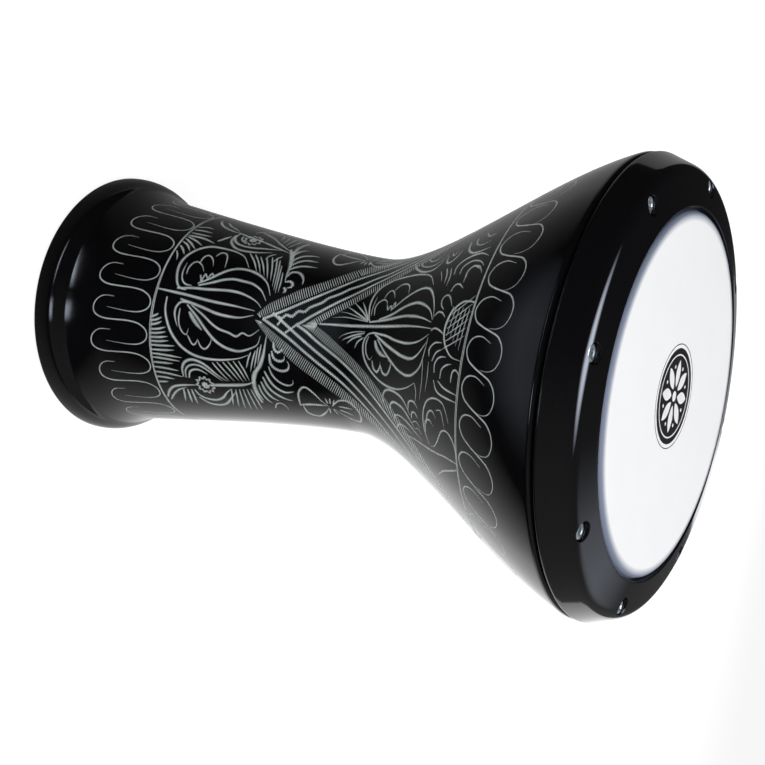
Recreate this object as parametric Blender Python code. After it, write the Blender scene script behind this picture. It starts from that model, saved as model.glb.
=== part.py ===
"""Goblet drum with a cast shell, a hooped film head and a tuning ring drawn down by eight screws.

The drum stands on its foot: the origin is the centre of the foot's flat rim, and +Z runs up the
drum's axis to the playing surface. Lengths are in metres.
"""

import math

import bmesh
import bpy
from mathutils import Matrix, Vector

# Shell, outside, from the foot up
FOOT_RADIUS = 0.0935
FOOT_EDGE_RADIUS = 0.0030
FOOT_RIM_WIDTH = 0.0085
BEAD_STRAIGHT = 0.0020
BEAD_CURVE_RADIUS = 0.0240
BEAD_CURVE_ANGLE = math.radians(45.0)
SWEEP_HEIGHT = 0.0250
SWEEP_START_TAPER = 0.42
TUBE_BASE_RADIUS = 0.0790
TUBE_TAPER = 0.145
TUBE_HEIGHT = 0.1781
WAIST_RADIUS = 0.0590
BOWL_HEIGHT = 0.1783
RIM_RADIUS = 0.1432
RIM_FLARE = 0.308
RIM_EDGE_RADIUS = 0.0025
WALL = 0.0040

# How far each curve of the body keeps to its end direction
TUBE_STRAIGHT = 0.110
WAIST_STRAIGHT_BELOW = 0.0226
WAIST_STRAIGHT_ABOVE = 0.0463
RIM_STRAIGHT = 0.0546

# Shell, inside the head
FLANGE_THICKNESS = 0.0060
COLLAR_HEIGHT = 0.0260
COLLAR_WALL = 0.0042
COLLAR_INNER_EDGE_RADIUS = 0.0015

# Head
PLAYING_RADIUS = 0.1070
FILM_THICKNESS = 0.0003
FILM_ROLL_RADIUS = 0.0032
SKIRT_STEP = 0.0015
SKIRT_STEP_HEIGHT = 0.0030
HOOP_GRIP = 0.0030
HOOP_INNER_WALL = 0.0010
HOOP_OUTER_WALL = 0.0040
HOOP_FLOOR = 0.0020
HOOP_SLOT_CLEARANCE = 0.0010
HOOP_EDGE_RADIUS = 0.0004

# Tuning ring
RING_LIP_DROP = 0.0006
RING_LIP_CLEARANCE = 0.0007
RING_LIP_EDGE_RADIUS = 0.0008
RING_FACE_SLOPE = 0.22
RING_SIDE_TAPER = 0.39
RING_EDGE_RADIUS = 0.0090
RING_FOOT_EDGE_RADIUS = 0.0012
RING_WALL = 0.0040
RING_LEG_WIDTH = 0.0040
RING_REBATE = 0.0005

# Travel of the ring, down to tighten the head and up to slacken it
TIGHTEN_TRAVEL = 0.0010
SLACKEN_TRAVEL = 0.0020
RIM_CLEARANCE = 0.0005

# Tuning screws
BOLT_COUNT = 8
BOLT_CIRCLE_RADIUS = 0.1280
BOLT_PHASE = math.radians(40.0)
BOLT_DIAMETER = 0.0060
BOLT_LENGTH = 0.0250
BOLT_HEAD_DIAMETER = 0.0100
BOLT_HEAD_HEIGHT = 0.0060
BOLT_HEAD_CHAMFER = 0.0006
BOLT_TIP_CHAMFER = 0.0007
SOCKET_ACROSS_FLATS = 0.0050
SOCKET_DEPTH = 0.0030
COUNTERBORE_CLEARANCE = 0.00075
COUNTERBORE_DEPTH = 0.0082
SHELL_BOSS_WALL = 0.0050
RING_BOSS_WALL = 0.0040
RING_BOSS_COVER = 0.0030
RING_BOSS_LIFT = 0.0015
TAPPED_DEPTH = 0.0145

# Gap that pieces that touch keep in these meshes, and how far a cutter runs past what it cuts
SEAT_GAP = 0.0003
CUT_MARGIN = 0.0040

# Facets
TURN_STEPS = 48
BOLT_STEPS = 16
HOLE_STEPS = 16
ARC_STEP = math.radians(30.0)
BEAD_STEPS = 4
SWEEP_STEPS = 4
TUBE_STEPS = 6
BOWL_STEPS = 10
TUBE_STEPS_INSIDE = 4
BOWL_STEPS_INSIDE = 7

# Places that follow from the sizes above; a radius or a height that a piece shares is named once
FOOT_EDGE_TOP = FOOT_EDGE_RADIUS + BEAD_STRAIGHT
CREASE_Z = FOOT_EDGE_TOP + BEAD_CURVE_RADIUS * math.sin(BEAD_CURVE_ANGLE)
CREASE_RADIUS = FOOT_RADIUS - BEAD_CURVE_RADIUS * (1.0 - math.cos(BEAD_CURVE_ANGLE))
TUBE_BASE_Z = CREASE_Z + SWEEP_HEIGHT
WAIST_Z = TUBE_BASE_Z + TUBE_HEIGHT
FLANGE_Z = WAIST_Z + BOWL_HEIGHT
BEARING_Z = FLANGE_Z + COLLAR_HEIGHT
BEARING_ROLL_RADIUS = FILM_ROLL_RADIUS - FILM_THICKNESS - SEAT_GAP
COLLAR_RADIUS = PLAYING_RADIUS + BEARING_ROLL_RADIUS
PLAYING_Z = BEARING_Z + SEAT_GAP + FILM_THICKNESS
ROLL_CENTRE_Z = PLAYING_Z - FILM_ROLL_RADIUS
SKIRT_RADIUS = PLAYING_RADIUS + FILM_ROLL_RADIUS + SKIRT_STEP
SKIRT_TOP_Z = ROLL_CENTRE_Z - SKIRT_STEP_HEIGHT
HOOP_TOP_Z = SKIRT_TOP_Z - SLACKEN_TRAVEL - SEAT_GAP
SKIRT_END_Z = HOOP_TOP_Z - HOOP_GRIP
HOOP_SLOT_INNER = SKIRT_RADIUS - FILM_THICKNESS - SEAT_GAP
HOOP_SLOT_OUTER = SKIRT_RADIUS + SEAT_GAP
RING_LIP_RADIUS = SKIRT_RADIUS + RING_LIP_CLEARANCE
RING_TOP_Z = PLAYING_Z - RING_LIP_DROP
RING_FOOT_Z = FLANGE_Z + TIGHTEN_TRAVEL + RIM_CLEARANCE
RING_LEG_Z = HOOP_TOP_Z + SEAT_GAP
COUNTERBORE_TOP_Z = RING_TOP_Z - (BOLT_CIRCLE_RADIUS - RING_LIP_RADIUS) * RING_FACE_SLOPE
COUNTERBORE_SEAT_Z = COUNTERBORE_TOP_Z - COUNTERBORE_DEPTH
BOLT_HEAD_Z = COUNTERBORE_SEAT_Z + SEAT_GAP
BOLT_HOLE_RADIUS = BOLT_DIAMETER / 2 + SEAT_GAP

# Colours, roughness and metallic value, read from the photograph
FINISHES = {
    "black_lacquer": ((0.006, 0.006, 0.007, 1.0), 0.12, 0.0),
    "white_film": ((0.86, 0.87, 0.90, 1.0), 0.35, 0.0),
    "bare_aluminium": ((0.62, 0.63, 0.64, 1.0), 0.40, 1.0),
    "zinc_plate": ((0.50, 0.53, 0.52, 1.0), 0.30, 1.0),
}


def clear_scene():
    """Start from an empty scene."""
    for old in list(bpy.data.objects):
        bpy.data.objects.remove(old, do_unlink=True)


def finish_material(name):
    """One Principled material from the table of finishes."""
    material = bpy.data.materials.new(name)
    material.use_nodes = True
    shader = material.node_tree.nodes["Principled BSDF"]
    colour, roughness, metallic = FINISHES[name]
    shader.inputs["Base Color"].default_value = colour
    shader.inputs["Roughness"].default_value = roughness
    shader.inputs["Metallic"].default_value = metallic
    material.diffuse_color = colour
    return material


def add_object(name, mesh, material=None):
    """Link a mesh to the scene under the node's name."""
    node = bpy.data.objects.new(name, mesh)
    bpy.context.scene.collection.objects.link(node)
    if material is not None:
        mesh.materials.append(material)
    return node


def bezier(start, start_handle, end_handle, end, steps):
    """Points of a cubic curve in (radius, height), both ends included."""
    points = []
    for step in range(steps + 1):
        t = step / steps
        s = 1.0 - t
        weights = (s * s * s, 3 * s * s * t, 3 * s * t * t, t * t * t)
        corners = (start, start_handle, end_handle, end)
        points.append(sum((Vector(c) * w for c, w in zip(corners, weights)), Vector((0.0, 0.0))))
    return points


def arc(centre, radius, start_angle, end_angle, steps=None):
    """Points of an arc in (radius, height), both ends included."""
    steps = steps or max(2, math.ceil(abs(end_angle - start_angle) / ARC_STEP))
    points = []
    for step in range(steps + 1):
        angle = start_angle + (end_angle - start_angle) * step / steps
        points.append(Vector(centre) + radius * Vector((math.cos(angle), math.sin(angle))))
    return points


def rounded(before, corner, after, radius):
    """The arc that rounds a corner between two straight runs."""
    before, corner, after = Vector(before), Vector(corner), Vector(after)
    incoming = (before - corner).normalized()
    outgoing = (after - corner).normalized()
    half = incoming.angle(outgoing) / 2
    tangent = radius / math.tan(half)
    centre = corner + (incoming + outgoing).normalized() * radius / math.sin(half)
    first = corner + incoming * tangent - centre
    last = corner + outgoing * tangent - centre
    turn = first.angle_signed(last)
    steps = max(2, math.ceil(abs(turn) / ARC_STEP))
    points = []
    for step in range(steps + 1):
        points.append(centre + Matrix.Rotation(-turn * step / steps, 2) @ first)
    return points


def offset(points, distance):
    """A run of points moved square to itself, to its right as it is travelled."""
    moved = []
    for index, point in enumerate(points):
        ahead = points[min(index + 1, len(points) - 1)]
        behind = points[max(index - 1, 0)]
        along = (ahead - behind).normalized()
        moved.append(point + Vector((along.y, -along.x)) * distance)
    return moved


def turned_mesh(name, outline, steps):
    """Spin an outline in (radius, height) about the Z axis into one closed solid.

    An outline that starts and ends on the axis is left open there; any other is closed.
    """
    shape = bmesh.new()
    corners = [shape.verts.new((radius, 0.0, height)) for radius, height in outline]
    pairs = list(zip(corners, corners[1:]))
    if outline[0][0] > 0.0:
        pairs.append((corners[-1], corners[0]))
    edges = [shape.edges.new(pair) for pair in pairs]
    bmesh.ops.spin(
        shape,
        geom=corners + edges,
        cent=(0, 0, 0),
        axis=(0, 0, 1),
        angle=math.tau,
        steps=steps,
        use_merge=False,
    )
    bmesh.ops.remove_doubles(shape, verts=shape.verts, dist=1e-6)
    bmesh.ops.recalc_face_normals(shape, faces=shape.faces)
    mesh = mesh_from(name, shape)
    mesh.shade_smooth()
    mesh.set_sharp_from_angle(angle=math.radians(40.0))
    return mesh


def add_bar(shape, centre, radius, low, high, sides):
    """Add an upright round or many-sided bar, and return its corners."""
    return bmesh.ops.create_cone(
        shape,
        cap_ends=True,
        segments=sides,
        radius1=radius,
        radius2=radius,
        depth=high - low,
        matrix=Matrix.Translation((centre, 0.0, (low + high) / 2)),
    )["verts"]


def mesh_from(name, shape):
    """Finish a bmesh as a mesh."""
    mesh = bpy.data.meshes.new(name)
    shape.to_mesh(mesh)
    shape.free()
    return mesh


def add_guide(name, mesh):
    """An object that only cuts or joins another, and isn't part of the drum."""
    guide = add_object(name, mesh)
    guide.hide_render = True
    guide.display_type = "WIRE"
    return guide


def bolt_angles():
    """Angles of the screws round the drum's axis."""
    return [BOLT_PHASE + math.tau * index / BOLT_COUNT for index in range(BOLT_COUNT)]


def row_of_bars(name, radius, low, high, slope=0.0):
    """One guide with a bar at each screw's place, its top falling outwards by the slope."""
    shape = bmesh.new()
    for angle in bolt_angles():
        corners = add_bar(shape, BOLT_CIRCLE_RADIUS, radius, low, high, HOLE_STEPS)
        for corner in corners:
            if corner.co.z > (low + high) / 2:
                corner.co.z -= (corner.co.x - BOLT_CIRCLE_RADIUS) * slope
        bmesh.ops.rotate(shape, verts=corners, cent=(0, 0, 0), matrix=Matrix.Rotation(angle, 3, "Z"))
    return add_guide(name, mesh_from(name, shape))


def combine(node, guide, operation):
    """Join the guide to the node, or cut it out."""
    modifier = node.modifiers.new(guide.name, "BOOLEAN")
    modifier.operation = operation
    modifier.object = guide
    modifier.solver = "EXACT"


def tube_curve(steps):
    """Outside of the tube, from its base up to the waist."""
    return bezier(
        (TUBE_BASE_RADIUS, TUBE_BASE_Z),
        (TUBE_BASE_RADIUS - TUBE_TAPER * TUBE_STRAIGHT, TUBE_BASE_Z + TUBE_STRAIGHT),
        (WAIST_RADIUS, WAIST_Z - WAIST_STRAIGHT_BELOW),
        (WAIST_RADIUS, WAIST_Z),
        steps,
    )


def bowl_curve(steps):
    """Outside of the bowl, from the waist up to the rim."""
    return bezier(
        (WAIST_RADIUS, WAIST_Z),
        (WAIST_RADIUS, WAIST_Z + WAIST_STRAIGHT_ABOVE),
        (RIM_RADIUS - RIM_FLARE * RIM_STRAIGHT, FLANGE_Z - RIM_STRAIGHT),
        (RIM_RADIUS, FLANGE_Z),
        steps,
    )


def shell_outline():
    """Closed outline of the casting: up the outside, over the bearing edge and down the inside."""
    bead_centre = (FOOT_RADIUS - BEAD_CURVE_RADIUS, FOOT_EDGE_TOP)
    crease = Vector((CREASE_RADIUS, CREASE_Z))
    tube = tube_curve(TUBE_STEPS)
    bowl = bowl_curve(BOWL_STEPS)
    sweep = bezier(
        crease,
        crease + Vector((-SWEEP_START_TAPER, 1.0)) * SWEEP_HEIGHT / 3,
        tube[0] - Vector((-TUBE_TAPER, 1.0)) * SWEEP_HEIGHT / 3,
        tube[0],
        SWEEP_STEPS,
    )
    foot_corner = (FOOT_RADIUS - FOOT_EDGE_RADIUS, FOOT_EDGE_RADIUS)
    rim = rounded(bowl[-2], bowl[-1], (COLLAR_RADIUS, FLANGE_Z), RIM_EDGE_RADIUS)
    bearing_centre = (PLAYING_RADIUS, ROLL_CENTRE_Z)
    collar_inner = COLLAR_RADIUS - COLLAR_WALL
    inner_edge = (collar_inner + COLLAR_INNER_EDGE_RADIUS, BEARING_Z - COLLAR_INNER_EDGE_RADIUS)

    outline = arc(foot_corner, FOOT_EDGE_RADIUS, -math.pi / 2, 0.0)
    outline += arc(bead_centre, BEAD_CURVE_RADIUS, 0.0, BEAD_CURVE_ANGLE, BEAD_STEPS)
    outline += sweep[1:-1] + tube + bowl[1:-1] + rim
    outline.append(Vector((COLLAR_RADIUS, FLANGE_Z)))
    outline += arc(bearing_centre, BEARING_ROLL_RADIUS, 0.0, math.pi / 2)
    outline += arc(inner_edge, COLLAR_INNER_EDGE_RADIUS, math.pi / 2, math.pi)

    # Inside: under the flange, then a wall's thickness in from the bowl and the tube
    under_flange = FLANGE_Z - FLANGE_THICKNESS
    outline.append(Vector((collar_inner, under_flange)))
    skin = offset(tube_curve(TUBE_STEPS_INSIDE) + bowl_curve(BOWL_STEPS_INSIDE)[1:], -WALL)
    below = [point for point in skin if point.y < under_flange]
    above = skin[len(below)]
    share = (under_flange - below[-1].y) / (above.y - below[-1].y)
    outline.append(below[-1].lerp(above, share))
    outline += reversed(below)
    outline.append(Vector((FOOT_RADIUS - FOOT_RIM_WIDTH, 0.0)))
    return outline


def build_shell(lacquer):
    """The casting, with a tapped boss under the flange for each screw."""
    shell = add_object("shell", turned_mesh("shell", shell_outline(), TURN_STEPS), lacquer)
    low = FLANGE_Z - TAPPED_DEPTH
    boss_radius = BOLT_HOLE_RADIUS + SHELL_BOSS_WALL
    bosses = row_of_bars("shell_boss_guides", boss_radius, low, FLANGE_Z - FLANGE_THICKNESS / 2)
    holes = row_of_bars(
        "shell_hole_guides", BOLT_HOLE_RADIUS, low - CUT_MARGIN, FLANGE_Z + CUT_MARGIN
    )
    combine(shell, bosses, "UNION")
    combine(shell, holes, "DIFFERENCE")
    return shell


def build_head_film(film):
    """The film: flat, rolled over the bearing edge, with a skirt down into the hoop."""
    roll = arc((PLAYING_RADIUS, ROLL_CENTRE_Z), FILM_ROLL_RADIUS, math.pi / 2, 0.0)
    outer = [Vector((0.0, PLAYING_Z))] + roll
    outer.append(Vector((SKIRT_RADIUS, SKIRT_TOP_Z)))
    outer.append(Vector((SKIRT_RADIUS, SKIRT_END_Z)))
    under_roll = arc(
        (PLAYING_RADIUS, ROLL_CENTRE_Z),
        FILM_ROLL_RADIUS - FILM_THICKNESS,
        0.0,
        math.pi / 2,
    )
    inner = [Vector((SKIRT_RADIUS - FILM_THICKNESS, SKIRT_END_Z))]
    inner.append(Vector((SKIRT_RADIUS - FILM_THICKNESS, SKIRT_TOP_Z)))
    inner += under_roll
    inner.append(Vector((0.0, PLAYING_Z - FILM_THICKNESS)))
    return add_object("head_film", turned_mesh("head_film", outer + inner, TURN_STEPS), film)


def build_flesh_hoop(aluminium):
    """The channel that grips the film's edge, open at the top."""
    slot_floor = SKIRT_END_Z - SLACKEN_TRAVEL - HOOP_SLOT_CLEARANCE
    low = slot_floor - HOOP_FLOOR
    inside = HOOP_SLOT_INNER - HOOP_INNER_WALL
    outside = HOOP_SLOT_OUTER + HOOP_OUTER_WALL
    outline = [
        Vector((inside, low)),
        Vector((outside - HOOP_EDGE_RADIUS, low)),
        Vector((outside, low + HOOP_EDGE_RADIUS)),
        Vector((outside, HOOP_TOP_Z - HOOP_EDGE_RADIUS)),
        Vector((outside - HOOP_EDGE_RADIUS, HOOP_TOP_Z)),
        Vector((HOOP_SLOT_OUTER, HOOP_TOP_Z)),
        Vector((HOOP_SLOT_OUTER, slot_floor)),
        Vector((HOOP_SLOT_INNER, slot_floor)),
        Vector((HOOP_SLOT_INNER, HOOP_TOP_Z)),
        Vector((inside, HOOP_TOP_Z)),
    ]
    return add_object("flesh_hoop", turned_mesh("flesh_hoop", outline, TURN_STEPS), aluminium)


def ring_face_z(radius):
    """Height of the ring's sloping face at a radius."""
    return RING_TOP_Z - (radius - RING_LIP_RADIUS) * RING_FACE_SLOPE


def ring_shoulder(drop, inset):
    """Where the face, lowered, meets the side, moved in: the ring's shoulder or its inside corner."""
    side_foot = RIM_RADIUS - inset
    face_at_lip = RING_TOP_Z - drop
    rise = face_at_lip + RING_LIP_RADIUS * RING_FACE_SLOPE - RING_FOOT_Z
    radius = (side_foot - RING_SIDE_TAPER * rise) / (1.0 - RING_SIDE_TAPER * RING_FACE_SLOPE)
    return Vector((radius, ring_face_z(radius) - drop))


def ring_outline():
    """Closed outline of the ring's casting: out along the face, down the side and back inside."""
    lip = Vector((RING_LIP_RADIUS, RING_TOP_Z))
    foot = Vector((RIM_RADIUS, RING_FOOT_Z))
    leg_inside = Vector((RING_LIP_RADIUS, RING_LEG_Z))
    leg_outside = RING_LIP_RADIUS + RING_LEG_WIDTH
    face_wall = RING_WALL * math.hypot(1.0, RING_FACE_SLOPE)
    side_wall = RING_WALL * math.hypot(1.0, RING_SIDE_TAPER)
    shoulder = ring_shoulder(0.0, 0.0)
    inner_shoulder = ring_shoulder(face_wall, side_wall)
    inner_foot = Vector((RIM_RADIUS - side_wall, RING_FOOT_Z))

    outline = rounded(leg_inside, lip, shoulder, RING_LIP_EDGE_RADIUS)
    outline += rounded(lip, shoulder, foot, RING_EDGE_RADIUS)
    outline += rounded(shoulder, foot, inner_foot, RING_FOOT_EDGE_RADIUS)
    outline += [
        inner_foot,
        inner_shoulder,
        Vector((leg_outside, ring_face_z(leg_outside) - face_wall)),
        Vector((leg_outside, RING_LEG_Z)),
        leg_inside + Vector((RING_REBATE, 0.0)),
        leg_inside + Vector((0.0, RING_REBATE)),
    ]
    return outline


def build_tuning_ring(lacquer):
    """The bezel, with a boss, a counterbore and a clearance hole for each screw."""
    ring = add_object("tuning_ring", turned_mesh("tuning_ring", ring_outline(), TURN_STEPS), lacquer)
    boss_radius = BOLT_HOLE_RADIUS + RING_BOSS_WALL
    boss_low = RING_FOOT_Z + RING_BOSS_LIFT
    boss_high = COUNTERBORE_TOP_Z - RING_BOSS_COVER
    seat_radius = BOLT_HEAD_DIAMETER / 2 + COUNTERBORE_CLEARANCE
    below = RING_FOOT_Z - CUT_MARGIN
    above = PLAYING_Z + CUT_MARGIN
    bosses = row_of_bars("ring_boss_guides", boss_radius, boss_low, boss_high, RING_FACE_SLOPE)
    seats = row_of_bars("ring_seat_guides", seat_radius, COUNTERBORE_SEAT_Z, above)
    holes = row_of_bars("ring_hole_guides", BOLT_HOLE_RADIUS, below, above)
    combine(ring, bosses, "UNION")
    combine(ring, seats, "DIFFERENCE")
    combine(ring, holes, "DIFFERENCE")
    return ring


def bolt_mesh():
    """One socket-head screw, its origin under the head on its own axis."""
    head = BOLT_HEAD_DIAMETER / 2
    shank = BOLT_DIAMETER / 2
    outline = [
        Vector((0.0, -BOLT_LENGTH)),
        Vector((shank - BOLT_TIP_CHAMFER, -BOLT_LENGTH)),
        Vector((shank, BOLT_TIP_CHAMFER - BOLT_LENGTH)),
        Vector((shank, 0.0)),
        Vector((head, 0.0)),
        Vector((head, BOLT_HEAD_HEIGHT - BOLT_HEAD_CHAMFER)),
        Vector((head - BOLT_HEAD_CHAMFER, BOLT_HEAD_HEIGHT)),
        Vector((0.0, BOLT_HEAD_HEIGHT)),
    ]
    return turned_mesh("tuning_bolt", outline, BOLT_STEPS)


def socket_mesh():
    """The hexagon socket's cutter, from the socket's floor to above the head."""
    shape = bmesh.new()
    radius = SOCKET_ACROSS_FLATS / math.sqrt(3.0)
    add_bar(shape, 0.0, radius, BOLT_HEAD_HEIGHT - SOCKET_DEPTH, BOLT_HEAD_HEIGHT + CUT_MARGIN, 6)
    return mesh_from("socket_guide", shape)


def build_tuning_bolts(zinc):
    """The eight screws, each with its own hexagon socket cut."""
    screw = bolt_mesh()
    screw.materials.append(zinc)
    cutter = socket_mesh()
    for index, angle in enumerate(bolt_angles(), start=1):
        bolt = add_object(f"tuning_bolt_{index}", screw)
        reach = BOLT_CIRCLE_RADIUS
        bolt.location = (reach * math.cos(angle), reach * math.sin(angle), BOLT_HEAD_Z)
        socket = add_guide(f"socket_guide_{index}", cutter)
        socket.location = bolt.location
        combine(bolt, socket, "DIFFERENCE")


def main():
    clear_scene()
    finishes = {name: finish_material(name) for name in FINISHES}
    build_shell(finishes["black_lacquer"])
    build_head_film(finishes["white_film"])
    build_flesh_hoop(finishes["bare_aluminium"])
    build_tuning_ring(finishes["black_lacquer"])
    build_tuning_bolts(finishes["zinc_plate"])


main()
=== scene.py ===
"""The goblet drum dressed for its picture: lacquer, engraved ornament, film head and zinc screws.

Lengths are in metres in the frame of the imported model, where the drum stands on its foot with its
axis on Z. The ornament's strokes are in millimetres of height and degrees round the drum.
"""

import math
import random

import bmesh
import bpy
import numpy as np
from mathutils import Matrix, Vector


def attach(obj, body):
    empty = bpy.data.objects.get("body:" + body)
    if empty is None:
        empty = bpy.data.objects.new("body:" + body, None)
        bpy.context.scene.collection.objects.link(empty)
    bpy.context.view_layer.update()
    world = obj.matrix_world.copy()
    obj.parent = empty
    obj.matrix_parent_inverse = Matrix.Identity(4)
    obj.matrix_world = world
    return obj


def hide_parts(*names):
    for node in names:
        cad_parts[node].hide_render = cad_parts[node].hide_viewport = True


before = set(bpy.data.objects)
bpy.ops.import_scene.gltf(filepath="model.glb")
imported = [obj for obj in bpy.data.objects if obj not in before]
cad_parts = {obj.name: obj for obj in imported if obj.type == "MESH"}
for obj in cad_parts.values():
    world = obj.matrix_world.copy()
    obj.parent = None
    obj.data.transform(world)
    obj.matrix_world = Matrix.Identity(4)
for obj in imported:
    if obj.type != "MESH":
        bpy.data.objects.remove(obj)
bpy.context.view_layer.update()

# Casting, outside, from the foot up
FOOT_RADIUS = 0.0935
FOOT_EDGE_RADIUS = 0.0030
FOOT_RIM_WIDTH = 0.0085
FOOT_INNER_EDGE_RADIUS = 0.0015
BEAD_STRAIGHT = 0.0020
BEAD_CURVE_RADIUS = 0.0240
BEAD_CURVE_ANGLE = math.radians(45.0)
SWEEP_HEIGHT = 0.0250
SWEEP_START_TAPER = 0.42
TUBE_BASE_RADIUS = 0.0790
TUBE_TAPER = 0.145
TUBE_HEIGHT = 0.1781
TUBE_STRAIGHT = 0.110
WAIST_RADIUS = 0.0590
WAIST_STRAIGHT_BELOW = 0.0226
WAIST_STRAIGHT_ABOVE = 0.0463
BOWL_HEIGHT = 0.1783
RIM_RADIUS = 0.1432
RIM_FLARE = 0.308
RIM_STRAIGHT = 0.0546
RIM_EDGE_RADIUS = 0.0025
WALL = 0.0040

# Casting, inside the head
FLANGE_THICKNESS = 0.0060
COLLAR_HEIGHT = 0.0260
COLLAR_WALL = 0.0042
COLLAR_INNER_EDGE_RADIUS = 0.0015
FLANGE_FILLET = 0.0020
BOWL_FILLET = 0.0030

# Head
PLAYING_RADIUS = 0.1070
FILM_THICKNESS = 0.0003
FILM_ROLL_RADIUS = 0.0032
SKIRT_STEP = 0.0015
SKIRT_STEP_HEIGHT = 0.0030
HOOP_GRIP = 0.0030

# Tuning ring
RING_LIP_DROP = 0.0006
RING_LIP_CLEARANCE = 0.0007
RING_LIP_EDGE_RADIUS = 0.0008
RING_FACE_SLOPE = 0.22
RING_SIDE_TAPER = 0.39
RING_EDGE_RADIUS = 0.0090
RING_FOOT_EDGE_RADIUS = 0.0012
RING_WALL = 0.0040
RING_LEG_WIDTH = 0.0040
RING_REBATE = 0.0005
TIGHTEN_TRAVEL = 0.0010
SLACKEN_TRAVEL = 0.0020
RIM_CLEARANCE = 0.0005

# Tuning screws
BOLT_COUNT = 8
BOLT_CIRCLE_RADIUS = 0.1280
BOLT_PHASE = math.radians(40.0)
BOLT_DIAMETER = 0.0060
BOLT_LENGTH = 0.0250
BOLT_PITCH = 0.0010
THREAD_DEPTH = 0.0006
BOLT_TIP_CHAMFER = 0.0008
BOLT_NECK_RADIUS = 0.0004
BOLT_HEAD_DIAMETER = 0.0100
BOLT_HEAD_HEIGHT = 0.0060
BOLT_SEAT_CHAMFER = 0.0003
BOLT_HEAD_EDGE_RADIUS = 0.0007
KNURL_DEPTH = 0.00018
KNURL_BOTTOM_MARGIN = 0.0002
KNURL_TOP_MARGIN = 0.0006
SOCKET_ACROSS_FLATS = 0.0050
SOCKET_DEPTH = 0.0030
SOCKET_POINT_DEPTH = 0.0012
SOCKET_POINT_INSET = 0.0002
SOCKET_POINT_TOP = 0.0010
SOCKET_EDGE_BOTTOM = 0.0006
SOCKET_EDGE_DEPTH = 0.0004
SOCKET_EDGE_INSET = 0.00025
SOCKET_EDGE_WIDTH = 0.0006
ON_SKIN = 0.0001
COUNTERBORE_CLEARANCE = 0.00075
COUNTERBORE_DEPTH = 0.0082
COUNTERBORE_CHAMFER = 0.00045
SHELL_BOSS_WALL = 0.0050
RING_BOSS_WALL = 0.0040
RING_BOSS_COVER = 0.0030
RING_BOSS_LIFT = 0.0015
TAPPED_DEPTH = 0.0145
SEAT_GAP = 0.0003
CUT_MARGIN = 0.0040

# How finely the pieces are turned
SWEEP_STEPS = 16
TUBE_STEPS = 56
BOWL_STEPS = 72
TUBE_INNER_STEPS = 28
BOWL_INNER_STEPS = 40
FLANGE_RUN_STEPS = 12
WALL_RUN_STEPS = 10
RING_RUN_STEPS = 8
FILM_RUN_STEPS = 10
BOLT_HEAD_RUN_STEPS = 4
SHELL_STEPS = 224
RING_STEPS = 288
FILM_STEPS = 224
HOLE_STEPS = 48
BOLT_STEPS = 48
SOCKET_STEPS = 24
ARC_STEP = math.radians(7.5)
MERGE_DISTANCE = 1e-6

# Places that follow from the sizes above
FOOT_EDGE_TOP = FOOT_EDGE_RADIUS + BEAD_STRAIGHT
CREASE_Z = FOOT_EDGE_TOP + BEAD_CURVE_RADIUS * math.sin(BEAD_CURVE_ANGLE)
CREASE_RADIUS = FOOT_RADIUS - BEAD_CURVE_RADIUS * (1.0 - math.cos(BEAD_CURVE_ANGLE))
TUBE_BASE_Z = CREASE_Z + SWEEP_HEIGHT
WAIST_Z = TUBE_BASE_Z + TUBE_HEIGHT
FLANGE_Z = WAIST_Z + BOWL_HEIGHT
BEARING_Z = FLANGE_Z + COLLAR_HEIGHT
BEARING_ROLL_RADIUS = FILM_ROLL_RADIUS - FILM_THICKNESS - SEAT_GAP
COLLAR_RADIUS = PLAYING_RADIUS + BEARING_ROLL_RADIUS
PLAYING_Z = BEARING_Z + SEAT_GAP + FILM_THICKNESS
ROLL_CENTRE_Z = PLAYING_Z - FILM_ROLL_RADIUS
SKIRT_RADIUS = PLAYING_RADIUS + FILM_ROLL_RADIUS + SKIRT_STEP
SKIRT_TOP_Z = ROLL_CENTRE_Z - SKIRT_STEP_HEIGHT
HOOP_TOP_Z = SKIRT_TOP_Z - SLACKEN_TRAVEL - SEAT_GAP
SKIRT_END_Z = HOOP_TOP_Z - HOOP_GRIP
RING_LIP_RADIUS = SKIRT_RADIUS + RING_LIP_CLEARANCE
RING_TOP_Z = PLAYING_Z - RING_LIP_DROP
RING_FOOT_Z = FLANGE_Z + TIGHTEN_TRAVEL + RIM_CLEARANCE
RING_LEG_Z = HOOP_TOP_Z + SEAT_GAP
COUNTERBORE_TOP_Z = RING_TOP_Z - (BOLT_CIRCLE_RADIUS - RING_LIP_RADIUS) * RING_FACE_SLOPE
COUNTERBORE_SEAT_Z = COUNTERBORE_TOP_Z - COUNTERBORE_DEPTH
BOLT_HEAD_Z = COUNTERBORE_SEAT_Z + SEAT_GAP
BOLT_HOLE_RADIUS = BOLT_DIAMETER / 2 + SEAT_GAP


def bezier(start, start_handle, end_handle, end, steps):
    """Points of a cubic curve in (radius, height), both ends included."""
    points = []
    for step in range(steps + 1):
        t = step / steps
        s = 1.0 - t
        weights = (s * s * s, 3 * s * s * t, 3 * s * t * t, t * t * t)
        corners = (start, start_handle, end_handle, end)
        points.append(sum((Vector(c) * w for c, w in zip(corners, weights)), Vector((0.0, 0.0))))
    return points


def arc_steps(turn):
    """How many faces an arc gets for its angle."""
    return max(3, math.ceil(abs(turn) / ARC_STEP))


def arc(centre, radius, start_angle, end_angle):
    """Points of an arc in (radius, height), both ends included."""
    steps = arc_steps(end_angle - start_angle)
    points = []
    for step in range(steps + 1):
        angle = start_angle + (end_angle - start_angle) * step / steps
        points.append(Vector(centre) + radius * Vector((math.cos(angle), math.sin(angle))))
    return points


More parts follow.
